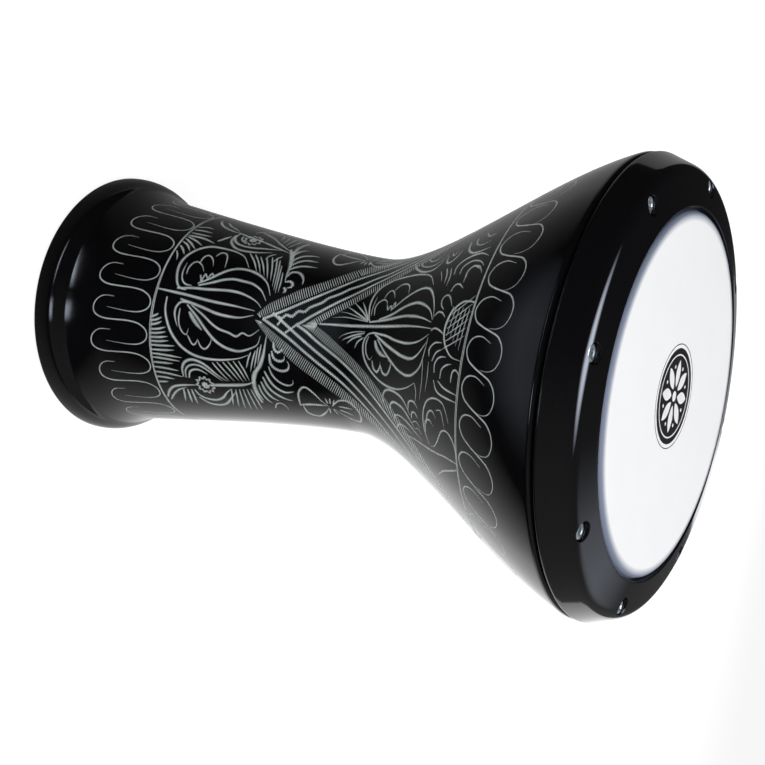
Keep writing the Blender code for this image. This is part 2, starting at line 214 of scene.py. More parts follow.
def rounded(before, corner, after, radius):
    """The arc that rounds a corner between two straight runs."""
    before, corner, after = Vector(before), Vector(corner), Vector(after)
    incoming = (before - corner).normalized()
    outgoing = (after - corner).normalized()
    half = incoming.angle(outgoing) / 2
    tangent = radius / math.tan(half)
    centre = corner + (incoming + outgoing).normalized() * radius / math.sin(half)
    first = corner + incoming * tangent - centre
    last = corner + outgoing * tangent - centre
    turn = first.angle_signed(last)
    steps = arc_steps(turn)
    return [centre + Matrix.Rotation(-turn * step / steps, 2) @ first for step in range(steps + 1)]


def straight(start, end, steps):
    """Points between two corners, both left out, so that a long run keeps small faces."""
    return [Vector(start).lerp(Vector(end), step / steps) for step in range(1, steps)]


def offset(points, distance):
    """A run of points moved square to itself, to its right as it is travelled."""
    moved = []
    for index, point in enumerate(points):
        ahead = points[min(index + 1, len(points) - 1)]
        behind = points[max(index - 1, 0)]
        along = (ahead - behind).normalized()
        moved.append(point + Vector((along.y, -along.x)) * distance)
    return moved


def add_piece(name, mesh, material=None):
    """Link a mesh to the scene as a piece."""
    piece = bpy.data.objects.new(name, mesh)
    bpy.context.scene.collection.objects.link(piece)
    if material is not None:
        mesh.materials.append(material)
    return piece


def mesh_from(shape, name):
    """A mesh made of a finished shape, which is let go."""
    mesh = bpy.data.meshes.new(name)
    shape.to_mesh(mesh)
    shape.free()
    return mesh


def finish_shading(mesh, angle=40.0):
    """Smooth shading, but for edges sharper than the angle."""
    mesh.shade_smooth()
    mesh.set_sharp_from_angle(angle=math.radians(angle))


def turned_mesh(name, outline, steps):
    """Spin an outline in (radius, height) about the Z axis into one closed body."""
    shape = bmesh.new()
    corners = [shape.verts.new((radius, 0.0, height)) for radius, height in outline]
    pairs = list(zip(corners, corners[1:]))
    if outline[0][0] > 0.0:
        pairs.append((corners[-1], corners[0]))
    edges = [shape.edges.new(pair) for pair in pairs]
    bmesh.ops.spin(
        shape,
        geom=corners + edges,
        cent=(0, 0, 0),
        axis=(0, 0, 1),
        angle=math.tau,
        steps=steps,
        use_merge=False,
    )
    bmesh.ops.remove_doubles(shape, verts=shape.verts, dist=MERGE_DISTANCE)
    bmesh.ops.recalc_face_normals(shape, faces=shape.faces)
    return mesh_from(shape, name)


def bolt_angles():
    """Angles of the screws round the drum's axis."""
    return [BOLT_PHASE + math.tau * index / BOLT_COUNT for index in range(BOLT_COUNT)]


def row_of_tools(name, outline, slope_above=None, slope=0.0):
    """One cutter or filler with a turned shape at each screw, sheared with the slope above a height."""
    shape = bmesh.new()
    one = turned_mesh(name, outline, HOLE_STEPS)
    for angle in bolt_angles():
        first = len(shape.verts)
        shape.from_mesh(one)
        shape.verts.ensure_lookup_table()
        corners = shape.verts[first:]
        for corner in corners:
            if slope_above is not None and corner.co.z > slope_above:
                corner.co.z -= corner.co.x * slope
            corner.co.x += BOLT_CIRCLE_RADIUS
        bmesh.ops.rotate(shape, verts=corners, cent=(0, 0, 0), matrix=Matrix.Rotation(angle, 3, "Z"))
    mesh = mesh_from(shape, name)
    bpy.data.meshes.remove(one)
    return add_piece(name, mesh)


def combine(piece, steps):
    """Join or cut the piece with each tool in turn, keep the result and drop the tools."""
    for operation, tool in steps:
        modifier = piece.modifiers.new(tool.name, "BOOLEAN")
        modifier.operation = operation
        modifier.object = tool
        modifier.solver = "EXACT"
    graph = bpy.context.evaluated_depsgraph_get()
    mesh = bpy.data.meshes.new_from_object(piece.evaluated_get(graph))
    piece.modifiers.clear()
    piece.data = mesh
    for _, tool in steps:
        bpy.data.objects.remove(tool, do_unlink=True)


def bar(radius, low, high):
    """Outline of a plain bar on its own axis."""
    return [(0.0, low), (radius, low), (radius, high), (0.0, high)]


def outer_curve():
    """Outside of the casting in (radius, height), from the foot's edge to the rim's corner."""
    bead_centre = (FOOT_RADIUS - BEAD_CURVE_RADIUS, FOOT_EDGE_TOP)
    foot_corner = (FOOT_RADIUS - FOOT_EDGE_RADIUS, FOOT_EDGE_RADIUS)
    crease = Vector((CREASE_RADIUS, CREASE_Z))
    tube = tube_curve(TUBE_STEPS)
    bowl = bowl_curve(BOWL_STEPS)
    sweep = bezier(
        crease,
        crease + Vector((-SWEEP_START_TAPER, 1.0)) * SWEEP_HEIGHT / 3,
        tube[0] - Vector((-TUBE_TAPER, 1.0)) * SWEEP_HEIGHT / 3,
        tube[0],
        SWEEP_STEPS,
    )
    curve = arc(foot_corner, FOOT_EDGE_RADIUS, -math.pi / 2, 0.0)
    curve += arc(bead_centre, BEAD_CURVE_RADIUS, 0.0, BEAD_CURVE_ANGLE)
    return curve + sweep[1:-1] + tube + bowl[1:]


def tube_curve(steps):
    """Outside of the tube, from its base up to the waist."""
    return bezier(
        (TUBE_BASE_RADIUS, TUBE_BASE_Z),
        (TUBE_BASE_RADIUS - TUBE_TAPER * TUBE_STRAIGHT, TUBE_BASE_Z + TUBE_STRAIGHT),
        (WAIST_RADIUS, WAIST_Z - WAIST_STRAIGHT_BELOW),
        (WAIST_RADIUS, WAIST_Z),
        steps,
    )


def bowl_curve(steps):
    """Outside of the bowl, from the waist up to the rim."""
    return bezier(
        (WAIST_RADIUS, WAIST_Z),
        (WAIST_RADIUS, WAIST_Z + WAIST_STRAIGHT_ABOVE),
        (RIM_RADIUS - RIM_FLARE * RIM_STRAIGHT, FLANGE_Z - RIM_STRAIGHT),
        (RIM_RADIUS, FLANGE_Z),
        steps,
    )


def shell_outline():
    """Closed outline of the casting: up the outside, over the bearing edge and down the inside."""
    outside = outer_curve()
    rim_edge = rounded(outside[-3], outside[-1], (COLLAR_RADIUS, FLANGE_Z), RIM_EDGE_RADIUS)
    outline = [point for point in outside if point.y < rim_edge[0].y] + rim_edge
    outline += straight(outline[-1], (COLLAR_RADIUS, FLANGE_Z), FLANGE_RUN_STEPS)
    outline.append(Vector((COLLAR_RADIUS, FLANGE_Z)))
    outline += arc((PLAYING_RADIUS, ROLL_CENTRE_Z), BEARING_ROLL_RADIUS, 0.0, math.pi / 2)
    collar_inner = COLLAR_RADIUS - COLLAR_WALL
    inner_edge = (collar_inner + COLLAR_INNER_EDGE_RADIUS, BEARING_Z - COLLAR_INNER_EDGE_RADIUS)
    outline += arc(inner_edge, COLLAR_INNER_EDGE_RADIUS, math.pi / 2, math.pi)

    under_flange = FLANGE_Z - FLANGE_THICKNESS
    skin = offset(tube_curve(TUBE_INNER_STEPS) + bowl_curve(BOWL_INNER_STEPS)[1:], -WALL)
    below = [point for point in skin if point.y < under_flange]
    above = skin[len(below)]
    share = (under_flange - below[-1].y) / (above.y - below[-1].y)
    inner_corner = below[-1].lerp(above, share)
    outline += rounded(outline[-1], (collar_inner, under_flange), inner_corner, FLANGE_FILLET)
    bowl_fillet = rounded(outline[-1], inner_corner, below[-3], BOWL_FILLET)
    outline += straight(outline[-1], bowl_fillet[0], WALL_RUN_STEPS) + bowl_fillet
    outline += [point for point in reversed(below) if point.y < bowl_fillet[-1].y]
    foot_inside = Vector((FOOT_RADIUS - FOOT_RIM_WIDTH, 0.0))
    foot_edge = rounded(below[0], foot_inside, (FOOT_RADIUS, 0.0), FOOT_INNER_EDGE_RADIUS)
    outline += straight(outline[-1], foot_edge[0], WALL_RUN_STEPS) + foot_edge
    return outline


def build_shell(lacquer):
    """The casting, with a tapped boss under the flange for each screw."""
    shell = add_piece("shell_body", turned_mesh("shell_body", shell_outline(), SHELL_STEPS), lacquer)
    low = FLANGE_Z - TAPPED_DEPTH
    boss = bar(BOLT_HOLE_RADIUS + SHELL_BOSS_WALL, low, FLANGE_Z - FLANGE_THICKNESS / 2)
    hole = bar(BOLT_HOLE_RADIUS, low - CUT_MARGIN, FLANGE_Z + CUT_MARGIN)
    combine(shell, [
        ("UNION", row_of_tools("shell_bosses", boss)),
        ("DIFFERENCE", row_of_tools("shell_holes", hole)),
    ])
    finish_shading(shell.data)
    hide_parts("shell")
    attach(shell, "drum")


def ring_face_z(radius):
    """Height of the ring's sloping face at a radius."""
    return RING_TOP_Z - (radius - RING_LIP_RADIUS) * RING_FACE_SLOPE


def ring_shoulder(drop, inset):
    """Where the face, lowered, meets the side, moved in: the ring's shoulder or its inside corner."""
    side_foot = RIM_RADIUS - inset
    face_at_lip = RING_TOP_Z - drop
    rise = face_at_lip + RING_LIP_RADIUS * RING_FACE_SLOPE - RING_FOOT_Z
    radius = (side_foot - RING_SIDE_TAPER * rise) / (1.0 - RING_SIDE_TAPER * RING_FACE_SLOPE)
    return Vector((radius, ring_face_z(radius) - drop))


def ring_outline():
    """Closed outline of the ring's casting: out along the face, down the side and back inside."""
    lip = Vector((RING_LIP_RADIUS, RING_TOP_Z))
    foot = Vector((RIM_RADIUS, RING_FOOT_Z))
    leg_inside = Vector((RING_LIP_RADIUS, RING_LEG_Z))
    leg_outside = RING_LIP_RADIUS + RING_LEG_WIDTH
    face_wall = RING_WALL * math.hypot(1.0, RING_FACE_SLOPE)
    side_wall = RING_WALL * math.hypot(1.0, RING_SIDE_TAPER)
    shoulder = ring_shoulder(0.0, 0.0)
    inner_shoulder = ring_shoulder(face_wall, side_wall)
    inner_foot = Vector((RIM_RADIUS - side_wall, RING_FOOT_Z))

    outline = rounded(leg_inside, lip, shoulder, RING_LIP_EDGE_RADIUS)
    edge = rounded(lip, shoulder, foot, RING_EDGE_RADIUS)
    outline += straight(outline[-1], edge[0], RING_RUN_STEPS) + edge
    foot_edge = rounded(shoulder, foot, inner_foot, RING_FOOT_EDGE_RADIUS)
    outline += straight(outline[-1], foot_edge[0], RING_RUN_STEPS) + foot_edge
    outline += [
        inner_foot,
        inner_shoulder,
        Vector((leg_outside, ring_face_z(leg_outside) - face_wall)),
        Vector((leg_outside, RING_LEG_Z)),
        leg_inside + Vector((RING_REBATE, 0.0)),
        leg_inside + Vector((0.0, RING_REBATE)),
    ]
    return outline


def build_ring(lacquer):
    """The bezel, with a boss, a chamfered counterbore and a clearance hole for each screw."""
    ring = add_piece("ring_body", turned_mesh("ring_body", ring_outline(), RING_STEPS), lacquer)
    boss_radius = BOLT_HOLE_RADIUS + RING_BOSS_WALL
    boss_low = RING_FOOT_Z + RING_BOSS_LIFT
    boss_high = COUNTERBORE_TOP_Z - RING_BOSS_COVER
    seat_radius = BOLT_HEAD_DIAMETER / 2 + COUNTERBORE_CLEARANCE
    mouth_radius = seat_radius + 2 * COUNTERBORE_CHAMFER
    seat = [
        (0.0, COUNTERBORE_SEAT_Z),
        (seat_radius, COUNTERBORE_SEAT_Z),
        (seat_radius, COUNTERBORE_TOP_Z - COUNTERBORE_CHAMFER),
        (mouth_radius, COUNTERBORE_TOP_Z + COUNTERBORE_CHAMFER),
        (mouth_radius, COUNTERBORE_TOP_Z + CUT_MARGIN),
        (0.0, COUNTERBORE_TOP_Z + CUT_MARGIN),
    ]
    boss = bar(boss_radius, boss_low, boss_high)
    hole = bar(BOLT_HOLE_RADIUS, RING_FOOT_Z - CUT_MARGIN, PLAYING_Z + CUT_MARGIN)
    above = COUNTERBORE_SEAT_Z + CUT_MARGIN / 2
    combine(ring, [
        ("UNION", row_of_tools("ring_bosses", boss, boss_low + CUT_MARGIN / 2, RING_FACE_SLOPE)),
        ("DIFFERENCE", row_of_tools("ring_seats", seat, above, RING_FACE_SLOPE)),
        ("DIFFERENCE", row_of_tools("ring_holes", hole)),
    ])
    finish_shading(ring.data, 30.0)
    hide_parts("tuning_ring")
    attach(ring, "ring")


def build_film(film):
    """The film: flat, rolled over the bearing edge, with a skirt down into the hoop."""
    roll_centre = (PLAYING_RADIUS, ROLL_CENTRE_Z)
    roll = arc(roll_centre, FILM_ROLL_RADIUS, math.pi / 2, 0.0)
    under_roll = arc(roll_centre, FILM_ROLL_RADIUS - FILM_THICKNESS, 0.0, math.pi / 2)
    outer = [Vector((0.0, PLAYING_Z))]
    outer += straight(outer[0], roll[0], FILM_RUN_STEPS) + roll
    outer.append(Vector((SKIRT_RADIUS, SKIRT_TOP_Z)))
    outer.append(Vector((SKIRT_RADIUS, SKIRT_END_Z)))
    inner = [Vector((SKIRT_RADIUS - FILM_THICKNESS, SKIRT_END_Z))]
    inner.append(Vector((SKIRT_RADIUS - FILM_THICKNESS, SKIRT_TOP_Z)))
    inner += under_roll
    inner += straight(under_roll[-1], (0.0, PLAYING_Z - FILM_THICKNESS), FILM_RUN_STEPS)
    inner.append(Vector((0.0, PLAYING_Z - FILM_THICKNESS)))
    piece = add_piece("film_body", turned_mesh("film_body", outer + inner, FILM_STEPS), film)
    finish_shading(piece.data)
    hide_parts("head_film")
    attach(piece, "drum")


def screw_outline():
    """Outline of a socket-head screw in (radius, height), from the tip's centre to the head's."""
    head = BOLT_HEAD_DIAMETER / 2
    shank = BOLT_DIAMETER / 2
    top = BOLT_HEAD_HEIGHT
    edge = BOLT_HEAD_EDGE_RADIUS
    outline = [Vector((0.0, -BOLT_LENGTH)), Vector((shank - BOLT_TIP_CHAMFER, -BOLT_LENGTH))]
    rows = round(BOLT_LENGTH / BOLT_PITCH * 4)
    for row in range(1, rows):
        outline.append(Vector((shank, -BOLT_LENGTH * (1.0 - row / rows))))
    outline += arc((shank + BOLT_NECK_RADIUS, -BOLT_NECK_RADIUS), BOLT_NECK_RADIUS, math.pi, math.pi / 2)
    outline += [Vector((head - BOLT_SEAT_CHAMFER, 0.0)), Vector((head, BOLT_SEAT_CHAMFER))]
    outline += straight((head, BOLT_SEAT_CHAMFER), (head, top - edge - ON_SKIN), BOLT_HEAD_RUN_STEPS)
    outline += arc((head - edge, top - edge), edge, 0.0, math.pi / 2)
    outline.append(Vector((0.0, top)))
    return outline


def screw_mesh(zinc):
    """One M6 socket-head screw with its knurl, thread and hexagon socket."""
    mesh = turned_mesh("tuning_screw", screw_outline(), BOLT_STEPS)
    shank = BOLT_DIAMETER / 2
    head = BOLT_HEAD_DIAMETER / 2
    for corner in mesh.vertices:
        x, y, z = corner.co
        radius = math.hypot(x, y)
        turn = math.atan2(y, x) / math.tau
        on_head = KNURL_BOTTOM_MARGIN < z < BOLT_HEAD_HEIGHT - KNURL_TOP_MARGIN
        if on_head and radius > head - ON_SKIN:
            groove = round(turn * BOLT_STEPS) % 2
            shrink = 1.0 - groove * KNURL_DEPTH / radius
        elif z < -BOLT_PITCH and abs(radius - shank) < ON_SKIN:
            phase = (z / BOLT_PITCH + turn) % 1.0
            fade = min(1.0, (z + BOLT_LENGTH) / (2 * BOLT_PITCH))
            shrink = 1.0 - (abs(2 * phase - 1) + (1 - fade)) * THREAD_DEPTH / 2 / radius
        else:
            continue
        corner.co = (x * shrink, y * shrink, z)
    screw = add_piece("tuning_screw", mesh, zinc)
    top = BOLT_HEAD_HEIGHT
    floor = top - SOCKET_DEPTH
    corner_radius = SOCKET_ACROSS_FLATS / math.sqrt(3.0)
    point_radius = SOCKET_ACROSS_FLATS / 2 - SOCKET_POINT_INSET
    hexagon = bar(corner_radius, floor, top + CUT_MARGIN)
    point = [
        (0.0, floor - SOCKET_POINT_DEPTH),
        (point_radius, floor),
        (point_radius, top - SOCKET_POINT_TOP),
        (0.0, top - SOCKET_POINT_TOP),
    ]
    countersink = [
        (0.0, top - SOCKET_EDGE_BOTTOM),
        (corner_radius - SOCKET_EDGE_INSET, top - SOCKET_EDGE_DEPTH),
        (corner_radius + SOCKET_EDGE_WIDTH, top + SOCKET_EDGE_DEPTH),
        (0.0, top + SOCKET_EDGE_DEPTH),
    ]
    combine(screw, [
        ("DIFFERENCE", add_piece("socket_hexagon", turned_mesh("socket_hexagon", hexagon, 6))),
        ("DIFFERENCE", add_piece("socket_point", turned_mesh("socket_point", point, SOCKET_STEPS))),
        ("DIFFERENCE", add_piece("socket_edge", turned_mesh("socket_edge", countersink, BOLT_STEPS))),
    ])
    finish_shading(screw.data, 30.0)
    mesh = screw.data
    bpy.data.objects.remove(screw, do_unlink=True)
    return mesh


def build_screws(zinc):
    """The eight screws, each turned to its own angle as a key left it."""
    mesh = screw_mesh(zinc)
    turns = random.Random(3)
    for index, angle in enumerate(bolt_angles(), start=1):
        screw = add_piece(f"screw_{index}", mesh)
        reach = BOLT_CIRCLE_RADIUS
        screw.location = (reach * math.cos(angle), reach * math.sin(angle), BOLT_HEAD_Z)
        screw.rotation_euler = (0.0, 0.0, turns.uniform(0.0, math.tau / 6))
        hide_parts(f"tuning_bolt_{index}")
        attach(screw, f"screw_{index}")


def principled(name, colour, roughness, metallic=0.0, ior=1.45):
    """A new material with its tree, and its shader's sockets set."""
    material = bpy.data.materials.new(name)
    material.use_nodes = True
    tree = material.node_tree
    shader = tree.nodes["Principled BSDF"]
    shader.inputs["Base Color"].default_value = (*colour, 1.0)
    shader.inputs["Roughness"].default_value = roughness
    shader.inputs["Metallic"].default_value = metallic
    shader.inputs["IOR"].default_value = ior
    material.diffuse_color = (*colour, 1.0)
    return material, tree, shader


def add_node(tree, kind, **values):
    """A node with inputs set by name, an underscore for a space, or else its own settings."""
    node = tree.nodes.new(kind)
    for name, value in values.items():
        socket = node.inputs.get(name.replace("_", " "))
        if socket is not None:
            socket.default_value = value
        else:
            setattr(node, name, value)
    return node


def axes_of(tree, kind, output):
    """The X, Y and Z of a coordinate that a node gives."""
    axes = add_node(tree, "ShaderNodeSeparateXYZ")
    tree.links.new(add_node(tree, kind).outputs[output], axes.inputs[0])
    return axes.outputs


def noise(tree, scale, detail=2.0, stretch=None):
    """Noise in object coordinates, stretched where asked; gives its value from 0 to 1."""
    place = add_node(tree, "ShaderNodeTexCoord").outputs["Object"]
    if stretch is not None:
        mapping = add_node(tree, "ShaderNodeMapping", Scale=stretch)
        tree.links.new(place, mapping.inputs["Vector"])
        place = mapping.outputs["Vector"]
    texture = add_node(tree, "ShaderNodeTexNoise", Scale=scale, Detail=detail, Roughness=0.5)
    tree.links.new(place, texture.inputs["Vector"])
    return texture.outputs["Fac"]


def ramp(tree, source, low, high, to_low, to_high):
    """The source mapped from one range to another, held at the ends."""
    node = add_node(tree, "ShaderNodeMapRange")
    for name, value in (("From Min", low), ("From Max", high), ("To Min", to_low), ("To Max", to_high)):
        node.inputs[name].default_value = value
    tree.links.new(source, node.inputs["Value"])
    return node.outputs["Result"]


def calculate(tree, operation, first, second=0.0):
    """A Math node on sockets or numbers."""
    node = add_node(tree, "ShaderNodeMath", operation=operation)
    for socket, value in zip(node.inputs, (first, second)):
        if isinstance(value, (int, float)):
            socket.default_value = value
        else:
            tree.links.new(value, socket)
    return node.outputs[0]


def bump(tree, shader, height, strength, distance):
    """Feed a height to the shader's normal."""
    node = add_node(tree, "ShaderNodeBump", Strength=strength, Distance=distance)
    tree.links.new(height, node.inputs["Height"])
    tree.links.new(node.outputs["Normal"], shader.inputs["Normal"])


def mix_colours(tree, share, first, second):
    """A colour between two, as the share says; the first may come from another node."""
    node = add_node(tree, "ShaderNodeMix", data_type="RGBA")
    if isinstance(first, tuple):
        node.inputs[6].default_value = (*first, 1.0)
    else:
        tree.links.new(first, node.inputs[6])
    node.inputs[7].default_value = (*second, 1.0)
    tree.links.new(share, node.inputs[0])
    return node.outputs[2]


def mix_shaders(tree, share, first, second):
    """The first shader, or the second where the share says."""
    node = add_node(tree, "ShaderNodeMixShader")
    for socket, source in zip(node.inputs, (share, first, second)):
        tree.links.new(source, socket)
    return node.outputs[0]


# Heights on the casting between which the turned lines come in and go out
TURNED_LINES_START = (0.345, 0.365)
TURNED_LINES_END = (0.398, 0.402)


def lacquer_material(name, turned_lines):
    """Black stoving lacquer: a deep gloss, faint orange peel, and turned lines near the bowl's rim."""
    material, tree, shader = principled(name, (0.0035, 0.0035, 0.0042), 0.07, 0.0, 1.40)
    smears = ramp(tree, noise(tree, 14.0, 3.0), 0.35, 0.75, 0.045, 0.11)
    tree.links.new(smears, shader.inputs["Roughness"])
    height = calculate(tree, "MULTIPLY", noise(tree, 260.0, 1.0), 0.35)
    if turned_lines:
        upright = axes_of(tree, "ShaderNodeTexCoord", "Object")["Z"]
        lines = noise(tree, 1.0, 2.0, stretch=(2.0, 2.0, 900.0))
        low = ramp(tree, upright, *TURNED_LINES_START, 0.0, 1.0)
        high = ramp(tree, upright, *TURNED_LINES_END, 1.0, 0.0)
        shown = calculate(tree, "MULTIPLY", low, high)
        height = calculate(tree, "ADD", height, calculate(tree, "MULTIPLY", lines, shown))
    bump(tree, shader, height, 0.10, 0.00012)
    return material


def engraving_material():
    """Bare aluminium where the graver rocked through the lacquer: bright, rough and cut across."""
    material, tree, shader = principled("engraved_metal", (0.78, 0.83, 0.81), 0.5, 0.30)
    cuts = noise(tree, 900.0, 2.0)
    patches = noise(tree, 60.0, 2.0)
    shade = ramp(tree, calculate(tree, "ADD", cuts, patches), 0.6, 1.35, 0.0, 1.0)
    colour = mix_colours(tree, shade, (0.42, 0.47, 0.455), (0.80, 0.86, 0.84))
    tree.links.new(colour, shader.inputs["Base Color"])
    tree.links.new(ramp(tree, patches, 0.3, 0.7, 0.42, 0.6), shader.inputs["Roughness"])
    bump(tree, shader, cuts, 0.5, 0.0002)
    return material


# Radii across which the film's colour is darkened: painted shade on the roll over the bearing edge, partly
# the collar showing through the film
FILM_EDGE_SHADE_RADII = (PLAYING_RADIUS - 0.0030, PLAYING_RADIUS + 0.0016)


def film_material():
    """White polyester film: satin, faintly mottled, scuffed, and painted greyer towards its edge: painted
    shade on the roll over the bearing edge, partly the collar showing through.
    """
    material, tree, shader = principled("white_film", (0.88, 0.885, 0.90), 0.35, 0.0, 1.5)
    shader.inputs["Specular IOR Level"].default_value = 0.04
    mottle = noise(tree, 45.0, 3.0)
    white = mix_colours(tree, mottle, (0.865, 0.87, 0.885), (0.895, 0.90, 0.91))
    place = add_node(tree, "ShaderNodeTexCoord").outputs["Object"]
    level = add_node(tree, "ShaderNodeVectorMath", operation="MULTIPLY")
    level.inputs[1].default_value = (1.0, 1.0, 0.0)
    tree.links.new(place, level.inputs[0])
    radius = add_node(tree, "ShaderNodeVectorMath", operation="LENGTH")
    tree.links.new(level.outputs["Vector"], radius.inputs[0])
    # Painted shade: across these radii the colour goes dark blue-grey, standing in for the shade on the
    # film's roll, partly the collar seen through the film
    edge_shade_and_collar = ramp(tree, radius.outputs["Value"], *FILM_EDGE_SHADE_RADII, 0.0, 1.0)
    tree.links.new(mix_colours(tree, edge_shade_and_collar, white, (0.20, 0.23, 0.31)), shader.inputs["Base Color"])
    scuffs = noise(tree, 30.0, 4.0, stretch=(1.0, 9.0, 1.0))
    tree.links.new(ramp(tree, scuffs, 0.35, 0.7, 0.28, 0.42), shader.inputs["Roughness"])
    bump(tree, shader, noise(tree, 1400.0, 2.0), 0.15, 0.0001)
    return material


def print_material(name, colour):
    """Ink on the film, a little uneven."""
    material, tree, shader = principled(name, colour, 0.38)
    shader.inputs["Specular IOR Level"].default_value = 0.2
    light = tuple(min(1.0, part * 1.08 + 0.004) for part in colour)
    tree.links.new(mix_colours(tree, noise(tree, 220.0, 3.0), colour, light), shader.inputs["Base Color"])
    bump(tree, shader, noise(tree, 1400.0, 2.0), 0.15, 0.0001)
    return material


def zinc_material():
    """Clear zinc plate: cool grey, slightly cloudy."""
    material, tree, shader = principled("zinc_plate", (0.56, 0.60, 0.60), 0.3, 0.85)
    clouds = noise(tree, 700.0, 3.0)
    colour = mix_colours(tree, clouds, (0.44, 0.48, 0.48), (0.66, 0.70, 0.70))
    tree.links.new(colour, shader.inputs["Base Color"])
    tree.links.new(ramp(tree, clouds, 0.3, 0.7, 0.2, 0.38), shader.inputs["Roughness"])
    bump(tree, shader, noise(tree, 2500.0, 2.0), 0.25, 0.00005)
    return material


def hoop_material():
    """Turned aluminium, with the tool's fine rings."""
    material, tree, shader = principled("turned_aluminium", (0.62, 0.63, 0.64), 0.38, 1.0)
    rings = noise(tree, 1.0, 2.0, stretch=(4.0, 4.0, 2500.0))
    tree.links.new(mix_colours(tree, rings, (0.52, 0.53, 0.54), (0.70, 0.71, 0.72)),
                   shader.inputs["Base Color"])
    tree.links.new(ramp(tree, rings, 0.3, 0.7, 0.3, 0.46), shader.inputs["Roughness"])
    bump(tree, shader, rings, 0.3, 0.0001)
    return material


# Ornament: strokes in millimetres of height and degrees round the drum, on the front panel. In a
# motif, a width stands before the strokes that have it.
PANEL_ANGLE = 82.0
FOOT_LINE = 88.3
HEAD_LINE = 344.2
BLOB = 4.6
THICK = 3.3
MAIN = 2.6
FINE = 1.85
HAIR = 1.0
BORDER = 1.6

TULIP_LOW = [
    THICK,
    [(89, 80.5), (110, 81), (130, 82), (150, 82.3), (164, 83)],
    [(103, 78.3), (115, 76.6), (124, 75.9), (133, 74.9), (142, 74), (150, 74.1), (158, 75.6), (164, 77.7),
     (168, 80.5)],
    [(118, 74.5), (127, 71.3), (134, 68.4), (141, 66.6), (149, 66.6), (156, 67), (163, 69.5), (167, 72.7),
     (170, 76)],
    [(117, 73.5), (124, 69.5), (130, 64.9), (135.5, 61.3), (142, 59.1), (150, 58.8), (157, 60.2),
     (163, 62.7), (167.5, 66.3), (171.5, 72)],
    [(110, 78.3), (105.6, 78), (102, 75.6), (99.3, 70.6), (98.1, 65.6), (98.7, 60.6), (101.6, 55.6),
     (106.7, 50.9), (113.6, 48.1), (124, 47.4), (133, 48), (140, 50.3), (147.5, 57)],
    FINE,
    [(113, 75.4), (108, 75.2), (104.4, 72.7), (102.7, 68.4), (102.7, 62.7)],
    [(106.1, 69.5), (105.6, 65.6), (107.5, 61.6), (110.7, 60.9), (114.7, 62.7), (117.6, 66)],
    [(111.7, 61), (111.9, 57.4), (113.6, 55.3), (116.4, 55.3), (119.9, 57.7), (122.3, 61.5)],
    [(120, 54.5), (121.5, 51.6), (124, 50.7), (126.9, 51.7), (129, 54.9), (131, 61)],
    THICK,
    [(108, 83.8), (118, 85.2), (127, 86.6), (136.5, 88.3), (146, 88.8), (155, 88.3), (164, 85.6)],
    MAIN,
    [(117, 86), (127.3, 90.6), (135.3, 94.9), (141, 97), (147.9, 98.1), (153.6, 99.5), (158, 97),
     (162.7, 98.1), (166.1, 96.6), (170, 93.5)],
    THICK,
    [(114, 86.3), (122.7, 92), (130.7, 98.4), (136.4, 102.7), (142, 105.6), (148, 107.4), (156, 108),
     (164, 105.6), (169.6, 102.5), (171.5, 97)],
    [(97.6, 84), (98.1, 90.6), (100.4, 96.3), (104.4, 102.7), (111.3, 109.1), (119.3, 113.1),
     (128.4, 114.9), (138.7, 115), (149, 113.8), (157, 112), (163, 109.5)],
    MAIN,
    [(116, 85.3), (109.6, 85.2), (106.5, 87.7), (105.6, 91.3), (107, 95.5), (109, 99)],
    FINE,
    [(109.2, 89), (109.4, 95.6), (112, 100.6), (115.9, 102.7), (117.6, 99)],
    [(117.2, 103), (120.4, 107.2), (122.7, 107.5), (125.2, 104)],
    [(125.2, 105), (127.3, 108.4), (130.7, 109.3), (134.1, 106.3), (135.3, 102.8)],
    BLOB,
    [(116.5, 90), (119, 92.3), (122, 95), (127.5, 98.8)],
]
TULIP_LOW_ZIGZAG = [(116.5, 68.3), (118.8, 72), (119.6, 66.8), (122.6, 69.6), (124, 65.8), (126.6, 67.4)]

